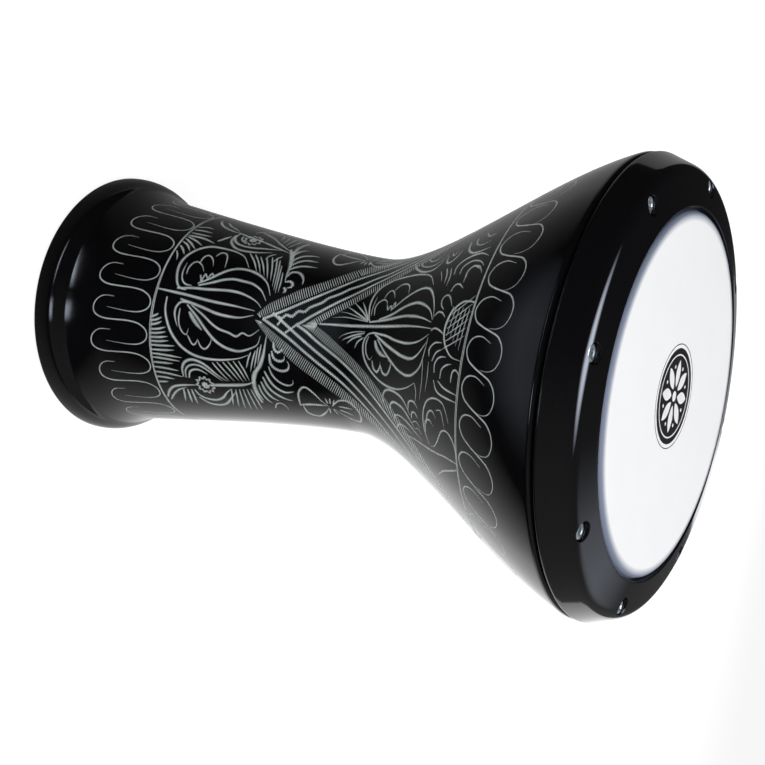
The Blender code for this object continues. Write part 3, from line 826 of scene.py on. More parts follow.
TULIP_HIGH = [
    THICK,
    [(212.5, 83.9), (226.7, 82.6), (250.7, 81.5), (280, 81), (295, 81.3), (311, 82.3)],
    HAIR,
    [(249.3, 79), (240, 77.8), (229.3, 77.2), (220.7, 78.6)],
    [(249.3, 78.8), (238.7, 76), (230, 74.2), (225, 74.2)],
    FINE,
    [(249.3, 78.4), (240, 74.7), (232, 71.3), (228, 70.4)],
    [(249.3, 78), (242.7, 73), (236, 68.8), (233, 67)],
    [(249.3, 77.6), (244, 71.3), (239.5, 66.5)],
    HAIR,
    [(249.3, 84.7), (240, 85.5), (232, 88), (228.7, 90.5)],
    FINE,
    [(249.3, 85.5), (241.3, 87.2), (234.7, 89.7), (231.5, 91.5)],
    [(247, 87.2), (241.3, 88.8), (237.3, 91.3), (236, 93)],
    [(249, 88), (244.5, 91), (242.7, 95)],
    THICK,
    [(251, 79), (266.7, 77.6), (280, 76.4), (290.7, 76.8), (300, 78), (309.3, 80)],
    [(259, 77.4), (269.3, 75.1), (276, 72.6), (282.7, 71), (290.7, 70.7), (298.7, 72.6), (305.3, 75.3),
     (309.6, 79)],
    MAIN,
    [(267, 72.8), (274.7, 68), (281.3, 65.1), (289.3, 63.7), (297.3, 65.1), (304, 69.7), (308.7, 75.5),
     (310, 79)],
    [(256, 84.8), (269.3, 85.9), (278.7, 87.6), (290.7, 88.4), (301.3, 87.2), (310, 84.3)],
    THICK,
    [(259, 85.8), (262.7, 87.2), (270.7, 90.1), (278.7, 92.2), (286.7, 93.8), (296, 94.3), (302.7, 92.2),
     (309.5, 87)],
    MAIN,
    [(262, 88), (270.7, 93.8), (278.7, 97.6), (285.3, 100.1), (293.3, 101.2), (300, 100.1), (306.7, 96.3),
     (309.3, 89.7), (309.8, 85.5)],
    [(254, 78.8), (250.7, 78.4), (248, 73), (246.3, 67.2), (246.7, 61.3), (249.3, 56.3), (254.7, 53),
     (261.3, 51.8), (272, 52.2), (282.7, 54.3), (292, 57.6), (299, 63.5)],
    HAIR,
    [(250.7, 75.5), (249.8, 69.7), (249.8, 63)],
    MAIN,
    [(260, 84.8), (253.3, 85.6), (250.4, 88.8), (249.8, 93), (252, 98.8), (257.3, 103.8), (265.3, 107.6),
     (274.7, 109.3), (285.3, 108.6), (294.7, 106.2), (303, 102.8)],
    FINE,
    [(253.5, 75), (252, 70.5), (253.3, 67.2), (257, 65.6), (260.7, 67.2), (262, 70)],
    [(257, 64.5), (258, 61.3), (260.7, 60.1), (264, 62.2), (266.3, 65.5)],
    [(263.3, 60.3), (266.7, 57.6), (272, 57.9), (276, 60.5), (278, 65)],
    [(253.6, 87), (252.3, 91.3), (253.6, 96.3), (257.3, 99.3), (259.6, 97)],
    MAIN,
    [(260, 99.5), (261.5, 103), (265, 104.5), (267.3, 102.2), (268, 99)],
    [(268.2, 100.6), (270.7, 103.8), (274.7, 104.1), (277.3, 101.3), (278, 98), (275, 97.2)],
    BLOB,
    [(260, 89), (262.5, 92.5), (267, 95), (272.5, 96)],
    FINE,
    [(310.7, 77.6), (313.3, 76.3), (317.3, 76.8), (321, 78.6)],
    [(317.3, 75.5), (314, 73.6), (313.3, 71.3), (316, 70.1), (320, 71.3), (324, 74.7)],
    [(318.5, 69), (320, 66.8), (324, 66.8), (329, 69)],
    [(327.3, 64.7), (327, 62.2), (330.7, 60.7), (337.3, 63)],
    [(311, 83), (314, 82.2), (319, 83), (324, 84.5)],
    [(314, 92), (313.3, 89.5), (317.3, 87.3), (324, 87.1)],
    [(317.5, 93.4), (320, 90.5), (325, 89.2)],
    [(321, 97), (320.5, 94), (324, 91.8), (330, 91.4)],
    [(327, 98.3), (327.5, 95.4), (331.3, 93.8), (336, 93.2)],
    [(337, 98.5), (337.5, 95.5), (340.5, 94.7), (344, 96)],
    HAIR,
    [(303, 103), (305, 106), (304.5, 110)],
    [(309, 94), (310, 101), (309, 108)],
    [(314.5, 94), (315, 99), (314, 104.5)],
]
TULIP_HIGH_ZIGZAG = [(262.4, 69.7), (264, 72.4), (265.8, 69.6), (267.3, 72), (268.7, 68), (270, 70.4)]

ACORN = [
    MAIN,
    [(343.3, 74.7), (338.7, 74.1), (333.3, 74), (328.5, 75.4), (325, 77.6), (323.3, 81.3), (324.7, 85.5),
     (328.7, 88.8), (334.7, 91.2), (343.3, 91.9)],
    FINE,
    [(321.3, 99.5), (324.5, 102.4), (330.7, 103.4), (344, 103.7)],
    [(325.3, 99.3), (332, 100.9), (343.5, 101.6)],
]

FLOWER_LOW = [
    THICK,
    [(110.7, 128), (111, 122.7), (114, 118.6), (119.3, 116.7), (126, 117.7), (132, 120.6), (137, 124.3),
     (144, 128.3)],
    MAIN,
    [(112.6, 128.5), (113.2, 124.1), (116.4, 120.8), (121.6, 119.6), (127.3, 120.6), (134, 124.3),
     (141, 128.8)],
    [(114.8, 128.5), (116.6, 124.4), (120.4, 122.7), (125, 122.8), (130.5, 125.2)],
    THICK,
    [(115.9, 137), (118.3, 141.4), (124, 144), (130.7, 144), (136.4, 141.3), (141, 137), (146, 133.6)],
    [(116.6, 143), (122.7, 148), (129.6, 149), (136.4, 146.9), (142, 142), (148.3, 135.8)],
    [(90.5, 144.4), (94, 139.9), (98.7, 136.3), (104.4, 134.7), (112, 133.8), (120, 133.2)],
    MAIN,
    [(91.9, 146.6), (97.6, 141.3), (103.3, 137.7), (110, 135.8)],
    [(107, 137), (105.5, 142), (103.3, 147.3)],
    [(110.2, 137), (109.4, 142.5), (107.9, 148.6)],
    [(113.4, 137), (112.9, 143), (111.9, 149.3)],
    BLOB,
    [(129, 132.6), (142, 131.4), (150, 130.6), (158, 129.4), (165, 127)],
    [(166, 143), (164.5, 136), (164.5, 128), (167.5, 120), (171.5, 115), (174.6, 107), (176, 96)],
    [(167, 119), (165, 125), (165, 133), (168, 141)],
    FINE,
    [(135.3, 117), (140, 122), (146, 128)],
    [(138.9, 116.4), (144, 121.5), (150.1, 127.8)],
    [(143.3, 115.8), (148.5, 121), (153.8, 127.2)],
    [(147.3, 115.2), (152.5, 121), (157, 127.7)],
    [(151.5, 114.6), (155.8, 120), (159.5, 127)],
    [(155.5, 114.1), (159, 119.5), (161.8, 126.3)],
    [(165, 107.7), (163, 112), (161, 118)],
    [(168.4, 106.3), (166, 113), (163.9, 120)],
    [(170.3, 104.1), (168.8, 111), (167, 117.5)],
    [(172.6, 102), (171.4, 108), (169.8, 114.5)],
    [(145.6, 134.5), (143.6, 141), (140.6, 148.5)],
    [(149, 134), (147.4, 141), (144.6, 149.5)],
    [(152, 133.6), (151, 142), (149, 151)],
    [(155, 133.2), (154.8, 142), (153.6, 151.5)],
    [(158, 132.8), (158.8, 142), (158.3, 151.5)],
    [(161, 132.6), (162.6, 142), (162.8, 150.5)],
    MAIN,
    [(178, 115), (180, 120.3), (184.4, 124.6), (190, 126.4), (194.4, 125), (195.2, 122)],
    THICK,
    [(174.5, 118.5), (178.1, 125.8), (181.9, 129.7), (187.5, 132), (194, 130.7)],
    [(172.7, 122.5), (175.4, 129.7), (180, 134.4), (186.2, 137.5), (191, 138.4)],
    [(170.6, 126), (172.5, 132.8), (175.6, 137.5), (180, 140)],
    MAIN,
    [(168.1, 128.5), (168.9, 134.4), (171.2, 139.8), (174, 142.6)],
    FINE,
    [(174, 147.5), (177, 143), (180.8, 142), (183.5, 144.5), (184, 148)],
    THICK,
    [(181.4, 99.6), (182.2, 103.3), (185, 105.3), (188.6, 103)],
    [(180.4, 105), (181.9, 109), (185.6, 110.7), (189.4, 109.6), (190, 107)],
    [(178.8, 107), (179.4, 112.5), (182.5, 115.6), (187.5, 116.8), (192, 115.4), (193.2, 112),
     (191.6, 109.8)],
]
FLOWER_LOW_RING = ((126.0, 132.8), 7.4)
FAN_LOW = [
    (95.6, 93.6, 93.4), (97.7, 96.4, 95.2), (99.9, 96.8, 97.4), (102.4, 99.9, 100.2),
    (104.5, 100.3, 102.7), (106.6, 101.8, 105.2), (108.8, 102.6, 107.4), (110.9, 107, 109.9),
    (113.4, 106.4, 112.4), (115.6, 111.9, 116.3), (117.7, 110.2, 118.6), (120.6, 104.6, 120.4),
    (123.4, 107.9, 124.6), (126.4, 110.1, 128.4), (129.5, 103, 130.4), (133, 97, 132.5),
]

FLOWER_UPPER = [
    THICK,
    [(120.8, 30.4), (121, 35.6), (125, 39.8), (131.7, 41.4), (140, 40.8), (148.3, 38.8), (160, 36.2)],
    [(119.6, 33), (120.6, 38.6), (123.6, 42.2), (129.2, 45), (136.7, 45.4), (145, 44), (155, 41)],
    FINE,
    [(124.8, 32), (126.7, 36.1), (131.7, 39)],
    THICK,
    [(119, 29.3), (128.3, 30.9), (138.3, 32), (150, 34.1), (160, 36.1), (167, 37.4)],
    [(132, 20), (143.3, 24.2), (151.7, 28.9), (160, 33), (167, 36)],
    MAIN,
    [(128, 24), (131, 19), (137, 14), (146, 11), (153, 12)],
    THICK,
    [(95.8, 20), (100, 24.7), (105.8, 27.8), (114.2, 29.6), (121, 30)],
    MAIN,
    [(101.7, 20), (106.7, 23.6), (112.5, 25.7), (118.3, 28.2)],
    THICK,
    [(112.5, 43), (114.6, 40.4), (118, 35.2)],
    [(90, 44.2), (101.7, 43.7), (112, 45.4)],
    MAIN,
    [(90, 45.4), (97.5, 46.8), (105, 49.4)],
    [(90, 47.2), (95.8, 49.4), (102, 53)],
    [(90, 49.8), (95, 51.6), (99.4, 55.2)],
    [(90, 52.8), (93.5, 54.8), (97, 58)],
    FINE,
    [(90, 56.8), (92.5, 59.4), (94, 62.5)],
    MAIN,
    [(90, 41.6), (97.5, 41.2), (105.5, 40.6)],
    [(90, 38.6), (96.5, 37.4), (103.5, 37.2)],
    FINE,
    [(90, 35.4), (96, 33), (101.5, 33.4)],
    BLOB,
    [(168.3, 18), (167.4, 26), (168, 33), (169.4, 38.5), (172, 44), (174.6, 50), (176.2, 57), (177.4, 61)],
    [(164, 33), (168, 38), (172.4, 44), (175.2, 51)],
    THICK,
    [(170.4, 42.5), (170.3, 36.5), (172.6, 31.2), (176, 28.8)],
    [(172.7, 45.2), (174.5, 40.2), (177.6, 36.6), (183.3, 34.3), (188, 34)],
    [(174.6, 48.4), (177.4, 43.8), (182, 40.6), (190.5, 39.6)],
    [(175.6, 52), (178.3, 48.8), (183.3, 46.3), (192.5, 45.1)],
    [(177, 57.4), (178, 53.7), (181.7, 52.4), (185.8, 53.5), (189.2, 57), (190.2, 60.6)],
    [(177.6, 61.4), (180.6, 60.1), (183.6, 61.6), (183.4, 64), (180.8, 64.8)],
    [(178.4, 65.4), (180.8, 66.6), (179.6, 68.8)],
    FINE,
    [(141.2, 46.2), (148.3, 51.8), (154.2, 58.3)],
    [(145.4, 46), (152, 52), (157.4, 59)],
    [(150, 46.8), (156, 53), (161, 60)],
    [(154.6, 46.5), (160, 54), (164.4, 62)],
    [(158, 45), (163.2, 53.5), (167.4, 63)],
    [(161.4, 44.3), (166.6, 54.5), (170.4, 66)],
    [(164.8, 46), (169.4, 56.5), (172.6, 68.5)],
    [(168.6, 50), (172, 60), (174.4, 70)],
    [(172.4, 55), (174.8, 62), (176, 69)],
    [(158.3, 41.6), (155.2, 44.6), (154.2, 48.4)],
    [(163.8, 42.2), (161.6, 45.8), (160.9, 49.6)],
    [(150, 25), (148, 20), (145, 15)],
    [(154, 27.6), (152.6, 21), (150, 15)],
    [(157.6, 29.6), (157.2, 22), (155.6, 15)],
    [(161, 31.6), (161.8, 23), (161, 15)],
]
FLOWER_UPPER_RING = ((134.0, 33.5), 7.0)

FLOWER_HIGH = [
    FINE,
    [(317.5, 123), (313.3, 118), (312.7, 112.2), (316, 107.4), (322.7, 105.2), (330.7, 105.5),
     (334.7, 107.8), (337.5, 110.8)],
    [(315.7, 115.5), (317.3, 111.3), (321.3, 109.7), (325.5, 111.6)],
    [(314.8, 119), (314.8, 115), (318.7, 113.4), (322.7, 114.9)],
    HAIR,
    [(325.3, 108.8), (330, 108.4), (333.6, 113)],
    FINE,
    [(344.7, 119.7), (341.3, 115.6), (336, 113.8), (330.7, 114.7), (326.7, 118.6), (322.7, 122),
     (318.7, 123.2)],
    [(344.7, 122.2), (333.3, 123), (324, 124.3), (313.3, 125.5), (301.3, 126.4), (286.7, 128.8)],
    [(343, 124.6), (336, 127), (328, 130), (321, 134.5)],
    MAIN,
    [(271.3, 118.6), (272, 113.8), (276, 111), (282.7, 110.3), (290.7, 111.3), (296, 114.2), (299, 117)],
    [(278.4, 120), (278.9, 117.2), (282.7, 115.2), (290.7, 115.5), (297.3, 118), (303, 121)],
    FINE,
    [(282, 124), (283, 121.5), (288, 120.2), (296, 120.9), (303, 122.5), (310.7, 124)],
    [(283, 128), (286, 125), (292, 123.8), (300, 124.6)],
    [(297.3, 114.7), (298, 111.3), (302.7, 110.1), (307.5, 112)],
    [(300.5, 117.4), (301, 115), (304, 114.2), (307, 115.8)],
    HAIR,
    [(301, 119), (305, 117.6), (309, 119)],
    [(303.5, 121), (307, 120), (310.5, 121.5)],
]

LEAVES_HIGH = [
    MAIN,
    [(266.7, 41.3), (272, 47.2), (280, 51.8), (288, 53.6), (293.3, 52.6), (298.7, 47.2)],
    FINE,
    [(272, 42.2), (277.3, 47.2), (285.3, 50), (292, 49.4), (297, 45.5)],
    [(278.7, 42.2), (282.7, 45.5), (288, 46.3), (293.3, 43.8)],
    MAIN,
    [(298.9, 48), (300.4, 52), (304, 53.2), (308, 51.1), (309.3, 47.2)],
    FINE,
    [(301, 46.5), (303.5, 49.3), (306, 46.2)],
    MAIN,
    [(313.3, 44.7), (316, 49.7), (321.3, 53), (328, 54.2), (337.3, 54.3)],
    FINE,
    [(318, 44), (321, 48.5), (327, 50.6), (334, 50.4)],
    [(325, 44), (329, 47), (335, 47.4)],
    MAIN,
    [(314.7, 61.5), (314, 58), (317.3, 55.9), (324, 55.1), (332, 55.9), (339.5, 58.3)],
    FINE,
    [(320, 62.4), (320.4, 59.2), (326.7, 58), (334.7, 59.7), (339.5, 62.2)],
    [(327, 66.5), (326.7, 62.4), (330, 60.9), (336, 61.9), (340.5, 65)],
    [(309, 57.5), (311.5, 61.5), (312, 66)],
    [(304.5, 56.5), (307.5, 60), (309, 64.5)],
    HAIR,
    [(300, 57), (303, 60), (305, 63)],
]

BUTTERFLY = [
    MAIN,
    [(195.6, 142), (197, 132), (200.6, 127), (204.4, 126.2), (209, 129.5), (213.6, 135), (218, 139)],
    [(197.6, 142), (199, 149), (206, 151), (213, 146), (218, 140)],
    THICK,
    [(196.5, 141), (205, 139.5), (217, 138.5)],
    MAIN,
    [(221, 138), (228, 132), (238, 131), (244, 138), (240, 146), (230, 146), (221, 140)],
    FINE,
    [(218, 136.4), (217, 132)],
    [(220, 136.2), (220.6, 131.4)],
    [(222, 136.6), (224, 132)],
    [(218, 141), (217, 146)],
    [(221, 141), (223, 146)],
    [(226, 137.5), (238, 136)],
    [(226, 140.5), (237, 142)],
]

# Chevron: each arm's lines and ropes from its apex outwards
ARM_LOW_LINES = [
    [(171.2, 86.7), (179.4, 89.9), (188.3, 93.8), (196.3, 97.8), (210, 105.5), (230, 116.5),
     (250, 127.5), (262, 134), (300, 155), (342, 178)],
    [(177.3, 82.2), (184.4, 85.7), (191.5, 89.4), (196.8, 92.3), (210, 99.4), (230, 110),
     (250, 120.5), (270, 130), (283, 136), (310, 150), (342, 167)],
    [(196.2, 86.8), (204.4, 90.1), (213.4, 95), (230, 103), (250, 113), (270, 123), (290, 132),
     (305, 139), (342, 158)],
]
ARM_LOW_ROPES = [
    ([(166, 88.3), (173.4, 94.5), (180, 99.5), (190, 106), (200, 112.5), (210, 118), (225, 127),
      (240, 134.5), (255, 141), (300, 166), (318, 176), (334, 176.5)],
     [(171, 88.8), (180, 93.3), (190, 98.2), (200, 103.5), (210, 109), (225, 117.5), (240, 126),
      (255, 133), (300, 157.5), (318, 167.5), (334, 176.3)]),
    ([(200.5, 86.5), (209, 90.2), (218.8, 95.5), (230, 101), (250, 111), (270, 121), (290, 130),
      (310, 140), (343, 156.5)],
     [(210.5, 85.3), (219.6, 89.4), (228.1, 94), (238, 99), (256, 107.5), (274, 116), (292, 125),
      (310, 134), (343, 151)]),
]
ARM_HIGH_LINES = [
    [(171.2, 86.7), (180.2, 82.2), (189.2, 77), (197.1, 71.8), (205.6, 66), (212.4, 60.9),
     (219.4, 55), (226.9, 48.2), (235.3, 42.5), (244.4, 38), (253.9, 34.3), (265, 29), (290, 17),
     (315, 7), (342, -2)],
    [(182, 84), (184.6, 84.6), (187.4, 81.9), (191.7, 82.3), (195, 78.5), (199.7, 78), (202.5, 74.7),
     (209.6, 70.3), (212.6, 66.7), (217.5, 63.6), (222.1, 60), (225, 57.3), (231, 53.8), (239, 48.4),
     (248.6, 44.4), (257.4, 40), (266, 36), (290, 25), (315, 15), (342, 6)],
    [(196.2, 86.8), (199.6, 84.7), (204.5, 80.7), (212, 75), (218.2, 70.1), (224.8, 65), (233, 59),
     (241.6, 53), (250.7, 48), (259.7, 43.7), (270, 39.5), (290, 31), (315, 22), (342, 13)],
]
ARM_HIGH_ROPES = [
    ([(166.5, 84.2), (173.3, 76.8), (183, 70.3), (191, 64.2), (199.3, 58.9), (207.2, 53),
      (212.6, 48), (219, 41.6), (226.4, 34.5), (234.9, 28.4), (260, 15), (290, 4), (318, -4),
      (338, -4.3)],
     [(169.4, 86.2), (177.4, 81.6), (185.2, 77), (193.8, 71.4), (201.2, 66.6), (208.7, 60.8),
      (213.6, 57), (218.5, 53), (225, 46.9), (232.1, 41.2), (256, 29), (288, 14), (318, 4),
      (338, -4)]),
    ([(203, 85.2), (210.7, 79), (218.2, 73.2), (225.7, 67.4), (238, 58), (250, 51), (260, 46),
      (280, 37.5), (290, 33.5), (315, 24.5), (343, 15.5)],
     [(211, 84.8), (217, 79.6), (224, 74.5), (231, 69.5), (241.5, 62), (250, 56.5), (260, 51.5),
      (280, 42.5), (290, 38.5), (315, 29.5), (343, 21)]),
]
ROPE_PITCH = 1.5
ROPE_CUT = 0.7
APEX_BARS = [
    [(182.5, 88.9), (185, 85.3)],
    [(189, 92.8), (192.4, 90.2), (196.6, 86.4)],
]

FOOT_UNIT = [(57, -6.3), (49, -5.9), (43.9, -3.4), (42, 0.4), (43.9, 3.6), (50, 5.2), (60, 5.2), (70, 4.9),
             (78.6, 5.6), (84.3, 8), (86, 11), (84.5, 14.2), (79, 16.5), (71, 17.2), (61, 17),
             (53, 16.6)]
HEAD_UNIT = [(366, -1.6), (357.5, -3.2), (350.4, -2.6), (347.2, 0.2), (350, 3.2), (356.4, 5),
             (363.6, 6.3), (370.4, 7.6), (374.8, 10), (375.4, 12.8), (372.4, 15.3), (367, 16.3),
             (361, 16.2)]
# Borders: the piece, the scroll, how many go round, the first one's angle and the line beside them
BORDERS = [
    ("engraving_foot", FOOT_UNIT, 21, 60.5, FOOT_LINE),
    ("engraving_head", HEAD_UNIT, 34, 77.2, HEAD_LINE),
]

# The graver: lengths along a stroke in millimetres, depths in metres, fades as shares of its length
STROKE_STEP = 0.72
STROKE_SINK = 0.00003
STROKE_CROWN = 0.00007
TOOTH = 0.78
FADE_IN = 0.2
FADE_OUT = 0.35
FLOWER_TEETH = 11
FLOWER_TOOTH = 0.66
HEART_REACH = 0.33
HATCH = HAIR + 0.2
RING_LINE_STEPS = 144
RING_LINE_CUT = 1.9 * 0.62
RING_LINE_SPREAD = 0.45
RING_LINE_WANDER = 0.15
RING_LINE_WAVES = 5
HAND_STRETCH = (0.97, 1.03)
HAND_SHIFT = (-0.6, 0.6)
HAND_DRIFT = (-0.25, 0.25)


class Surface:
    """The casting's outside as radius and slope over height, for laying strokes on it."""

    def __init__(self):
        """Read the casting's outside, but for the round under the foot's edge."""
        curve = [point for point in outer_curve() if point.y > FOOT_EDGE_RADIUS]
        self.height = np.array([point.y for point in curve])
        self.radius = np.array([point.x for point in curve])
        self.slope = np.gradient(self.radius, self.height)

    def at(self, height):
        """Radius and slope at heights."""
        return np.interp(height, self.height, self.radius), np.interp(height, self.height, self.slope)

    def place(self, height, angle, lift):
        """Points in space, lifted square to the surface."""
        radius, slope = self.at(height)
        steep = np.sqrt(1.0 + slope**2)
        out = radius + lift / steep
        return np.stack([out * np.cos(angle), out * np.sin(angle), height - lift * slope / steep], -1)


def smooth_path(points, per_run=10):
    """A Catmull-Rom curve through points in (height, angle)."""
    points = np.array(points, float)
    if len(points) < 3:
        return points
    ends = np.vstack([2 * points[0] - points[1], points, 2 * points[-1] - points[-2]])
    t = np.linspace(0.0, 1.0, per_run, endpoint=False)[:, None]
    runs = []
    for a, b, c, d in zip(ends, ends[1:], ends[2:], ends[3:]):
        runs.append(0.5 * (2 * b + (c - a) * t + (2 * a - 5 * b + 4 * c - d) * t**2
                           + (3 * b - a - 3 * c + d) * t**3))
    return np.vstack([*runs, points[-1:]])


class Engraver:
    """Lays strokes on a surface as closed ribbons with the graver's sawtooth edges."""

    def __init__(self, surface):
        """Start without strokes."""
        self.surface = surface
        self.corners = []
        self.faces = []
        self.count = 0

    def even_points(self, path, step):
        """Points along a path in (millimetres, degrees) at even steps, in metres and radians."""
        path = np.array(path, float) * (0.001, math.pi / 180)
        spots = self.surface.place(path[:, 0], path[:, 1], 0.0)
        length = np.concatenate([[0.0], np.cumsum(np.linalg.norm(np.diff(spots, axis=0), axis=1))])
        along = np.linspace(0.0, length[-1], max(3, int(length[-1] * 1000 / step) + 1))
        return np.stack([np.interp(along, length, path[:, k]) for k in (0, 1)], -1)

    def stroke(self, width, points, turn=0.0, mirror=False, sharp=False, ends=(0.55, 0.2), teeth=True):
        """One stroke: width in millimetres, points in (millimetres, degrees)."""
        points = np.array(points, float)
        if mirror:
            points[:, 1] = 2 * PANEL_ANGLE - points[:, 1]
        points[:, 1] += turn
        path = points if sharp else smooth_path(points)
        line = self.even_points(path, STROKE_STEP if teeth else 3 * STROKE_STEP)
        radius, slope = self.surface.at(line[:, 0])
        steep = np.sqrt(1.0 + slope**2)
        run = np.gradient(line, axis=0) * np.stack([steep, radius], -1)
        run /= np.linalg.norm(run, axis=1)[:, None] + 1e-12
        share = np.linspace(0.0, 1.0, len(line))
        fade = np.minimum(1.0, ends[0] + (1 - ends[0]) * share / FADE_IN)
        fade = np.minimum(fade, ends[1] + (1 - ends[1]) * (1 - share) / FADE_OUT)
        half = width * 0.001 / 2 * fade
        odd = np.arange(len(line)) % 2
        depth = TOOTH if teeth else 0.0
        sides = []
        for sign, cut in ((1.0, odd), (-1.0, 1 - odd)):
            reach = half * (1.0 - depth * cut) * sign
            height = line[:, 0] - reach * run[:, 1] / steep
            angle = line[:, 1] + reach * run[:, 0] / radius
            sides.append(self.surface.place(height, angle, -STROKE_SINK))
        crown = self.surface.place(line[:, 0], line[:, 1], STROKE_CROWN * np.minimum(1.0, fade + 0.3))
        self.ribbon(sides[0], crown, sides[1])

    def ribbon(self, left, crown, right):
        """Add one closed ribbon of three rows."""
        count = len(crown)
        base = self.count
        self.corners += [left, crown, right]
        a = base + np.arange(count - 1)
        for first, second in ((0, 1), (1, 2), (2, 0)):
            p, q = a + first * count, a + second * count
            self.faces.append(np.stack([p, p + 1, q + 1, q], -1))
        for end, order in ((base, (0, 1, 2)), (base + count - 1, (2, 1, 0))):
            tip = [end + row * count for row in order]
            self.faces.append(np.array([[*tip, tip[2]]]))
        self.count += 3 * count

    def strokes(self, motif, **how):
        """The strokes of a motif, each as wide as the last width named before it."""
        for entry in motif:
            if isinstance(entry, float):
                width = entry
            else:
                self.stroke(width, entry, **how)

    def rope(self, outer, inner, turn=0.0):
        """A band of short cuts from one edge square across to the other."""
        first = self.even_points(smooth_path(outer), ROPE_PITCH)
        second = self.even_points(smooth_path(inner), ROPE_PITCH / 8)
        from_spots = self.surface.place(first[:, 0], first[:, 1], 0.0)
        to_spots = self.surface.place(second[:, 0], second[:, 1], 0.0)
        scale = (1000.0, 180 / math.pi)
        for start, spot in zip(first, from_spots):
            nearest = np.linalg.norm(to_spots - spot, axis=1).argmin()
            self.stroke(ROPE_CUT, [start * scale, second[nearest] * scale], turn=turn, sharp=True,
                        ends=(0.8, 0.8), teeth=False)

    def zigzag_ring(self, centre, reach, turn=0.0):
        """A toothed ring round a flower's heart, with a blob inside."""
        radius = self.surface.at(centre[0] * 0.001)[0]
        degrees = 180 / math.pi / (radius * 1000)

        def around(size, angle):
            """A point round the flower's centre."""
            return (centre[0] + size * math.cos(angle), centre[1] + size * math.sin(angle) * degrees)

        ring = []
        for index in range(FLOWER_TEETH * 2 + 1):
            ring.append(around(reach * (1.0 if index % 2 else FLOWER_TOOTH), math.pi * index / FLOWER_TEETH))
        self.stroke(FINE, ring, turn=turn, sharp=True, ends=(1.0, 1.0))
        heart = []
        for index in range(14):
            heart.append(around(reach * HEART_REACH * (1 - index / 16), math.tau * index / 6))
        self.stroke(THICK, heart, turn=turn, ends=(1.0, 0.8))

    def piece(self, name, material):
        """The strokes so far as one mesh that rides on the drum."""
        corners = np.concatenate(self.corners)
        faces = np.concatenate(self.faces)
        polygons = [tuple(f) if f[2] != f[3] else tuple(f[:3]) for f in faces.tolist()]
        mesh = bpy.data.meshes.new(name)
        mesh.from_pydata(corners.tolist(), [], polygons)
        mesh.update()
        finish_shading(mesh, 60.0)
        piece = add_piece(name, mesh, material)
        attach(piece, "drum")


def ring_line(engraver, height):
    """A line all the way round, cut in two passes that wander a little."""
    for drift, phase in ((RING_LINE_SPREAD, 0.0), (-RING_LINE_SPREAD, 2.0)):
        points = []
        for step in range(RING_LINE_STEPS + 1):
            angle = 360.0 / RING_LINE_STEPS * step
            wander = RING_LINE_WANDER * math.sin(math.radians(angle * RING_LINE_WAVES) + phase)
            points.append((height + drift + wander, angle))
        engraver.stroke(RING_LINE_CUT, points, ends=(1.0, 1.0))


def by_hand(unit, hand):
    """A border unit a little moved and stretched, as no two are alike."""
    middle = sum(height for height, angle in unit) / len(unit)
    stretch = hand.uniform(*HAND_STRETCH)
    shift = hand.uniform(*HAND_SHIFT)
    drift = hand.uniform(*HAND_DRIFT)
    return [(middle + shift + (height - middle) * stretch, angle + drift) for height, angle in unit]


def engrave_borders(surface, metal):
    """The looping scrolls by the foot and by the head, outside the two ring lines."""
    hand = random.Random(11)
    for name, unit, count, start, line in BORDERS:
        work = Engraver(surface)
        for index in range(count):
            turn = start + 360.0 / count * index
            work.stroke(BORDER, by_hand(unit, hand), turn=turn, ends=(0.3, 0.2))
        ring_line(work, line)
        work.piece(name, metal)


def engrave_panel(name, surface, metal, turn):
    """One of the two equal panels: chevron, tulips, acorn, flowers and butterflies."""
    work = Engraver(surface)
    for motif in (TULIP_LOW, TULIP_HIGH, ACORN):
        work.strokes(motif, turn=turn)
    for points in (TULIP_LOW_ZIGZAG, TULIP_HIGH_ZIGZAG):
        work.stroke(FINE, points, turn=turn, sharp=True, ends=(1.0, 1.0))
    for step in range(6):
        work.stroke(HATCH, [(326 + 3 * step, 75 + 0.3 * step), (323.5 + 3.2 * step, 84 + step)], turn=turn)
        work.stroke(HATCH, [(325.5, 78 + 2.2 * step), (343, 72.5 + 2.4 * step)], turn=turn)
    for points in ARM_LOW_LINES + ARM_HIGH_LINES:
        work.stroke(THICK, points, turn=turn, ends=(1.0, 0.8))
    for outer, inner in ARM_LOW_ROPES + ARM_HIGH_ROPES:
        work.rope(outer, inner, turn=turn)
    for points in APEX_BARS:
        work.stroke(MAIN, points, turn=turn, sharp=True, ends=(1.0, 1.0))
    work.strokes(FLOWER_LOW, turn=turn)
    work.zigzag_ring(*FLOWER_LOW_RING, turn=turn)
    work.strokes(FLOWER_UPPER, turn=turn)
    work.zigzag_ring(*FLOWER_UPPER_RING, turn=turn)
    for foot, tip, angle in FAN_LOW:
        middle = ((FOOT_LINE + tip) / 2, foot + (angle - foot) * 0.3)
        work.stroke(MAIN, [(FOOT_LINE, foot), middle, (tip, angle)], turn=turn)
    for mirror in (False, True):
        work.strokes(BUTTERFLY, turn=turn, mirror=mirror)
    for motif in (FLOWER_HIGH, LEAVES_HIGH):
        work.strokes(motif, turn=turn)
    work.piece(name, metal)


# Rosette printed on the head
PRINT_RADIUS = 0.0290
PRINT_SINK = 0.0001
PRINT_LIFT = 0.00004
PRINT_RISE = 0.00003
PETAL_COUNT = 8
PETAL_LENGTH = 0.0165
PETAL_WIDTH = 0.0036
PETAL_START = 0.0055
DOT_RADIUS = 0.0011
DOT_CIRCLE_RADIUS = 0.0185
HEART_RADIUS = 0.0032
WHITE_LINE = (0.0245, 0.0254)
BLACK_LINE = (0.0312, 0.0318)


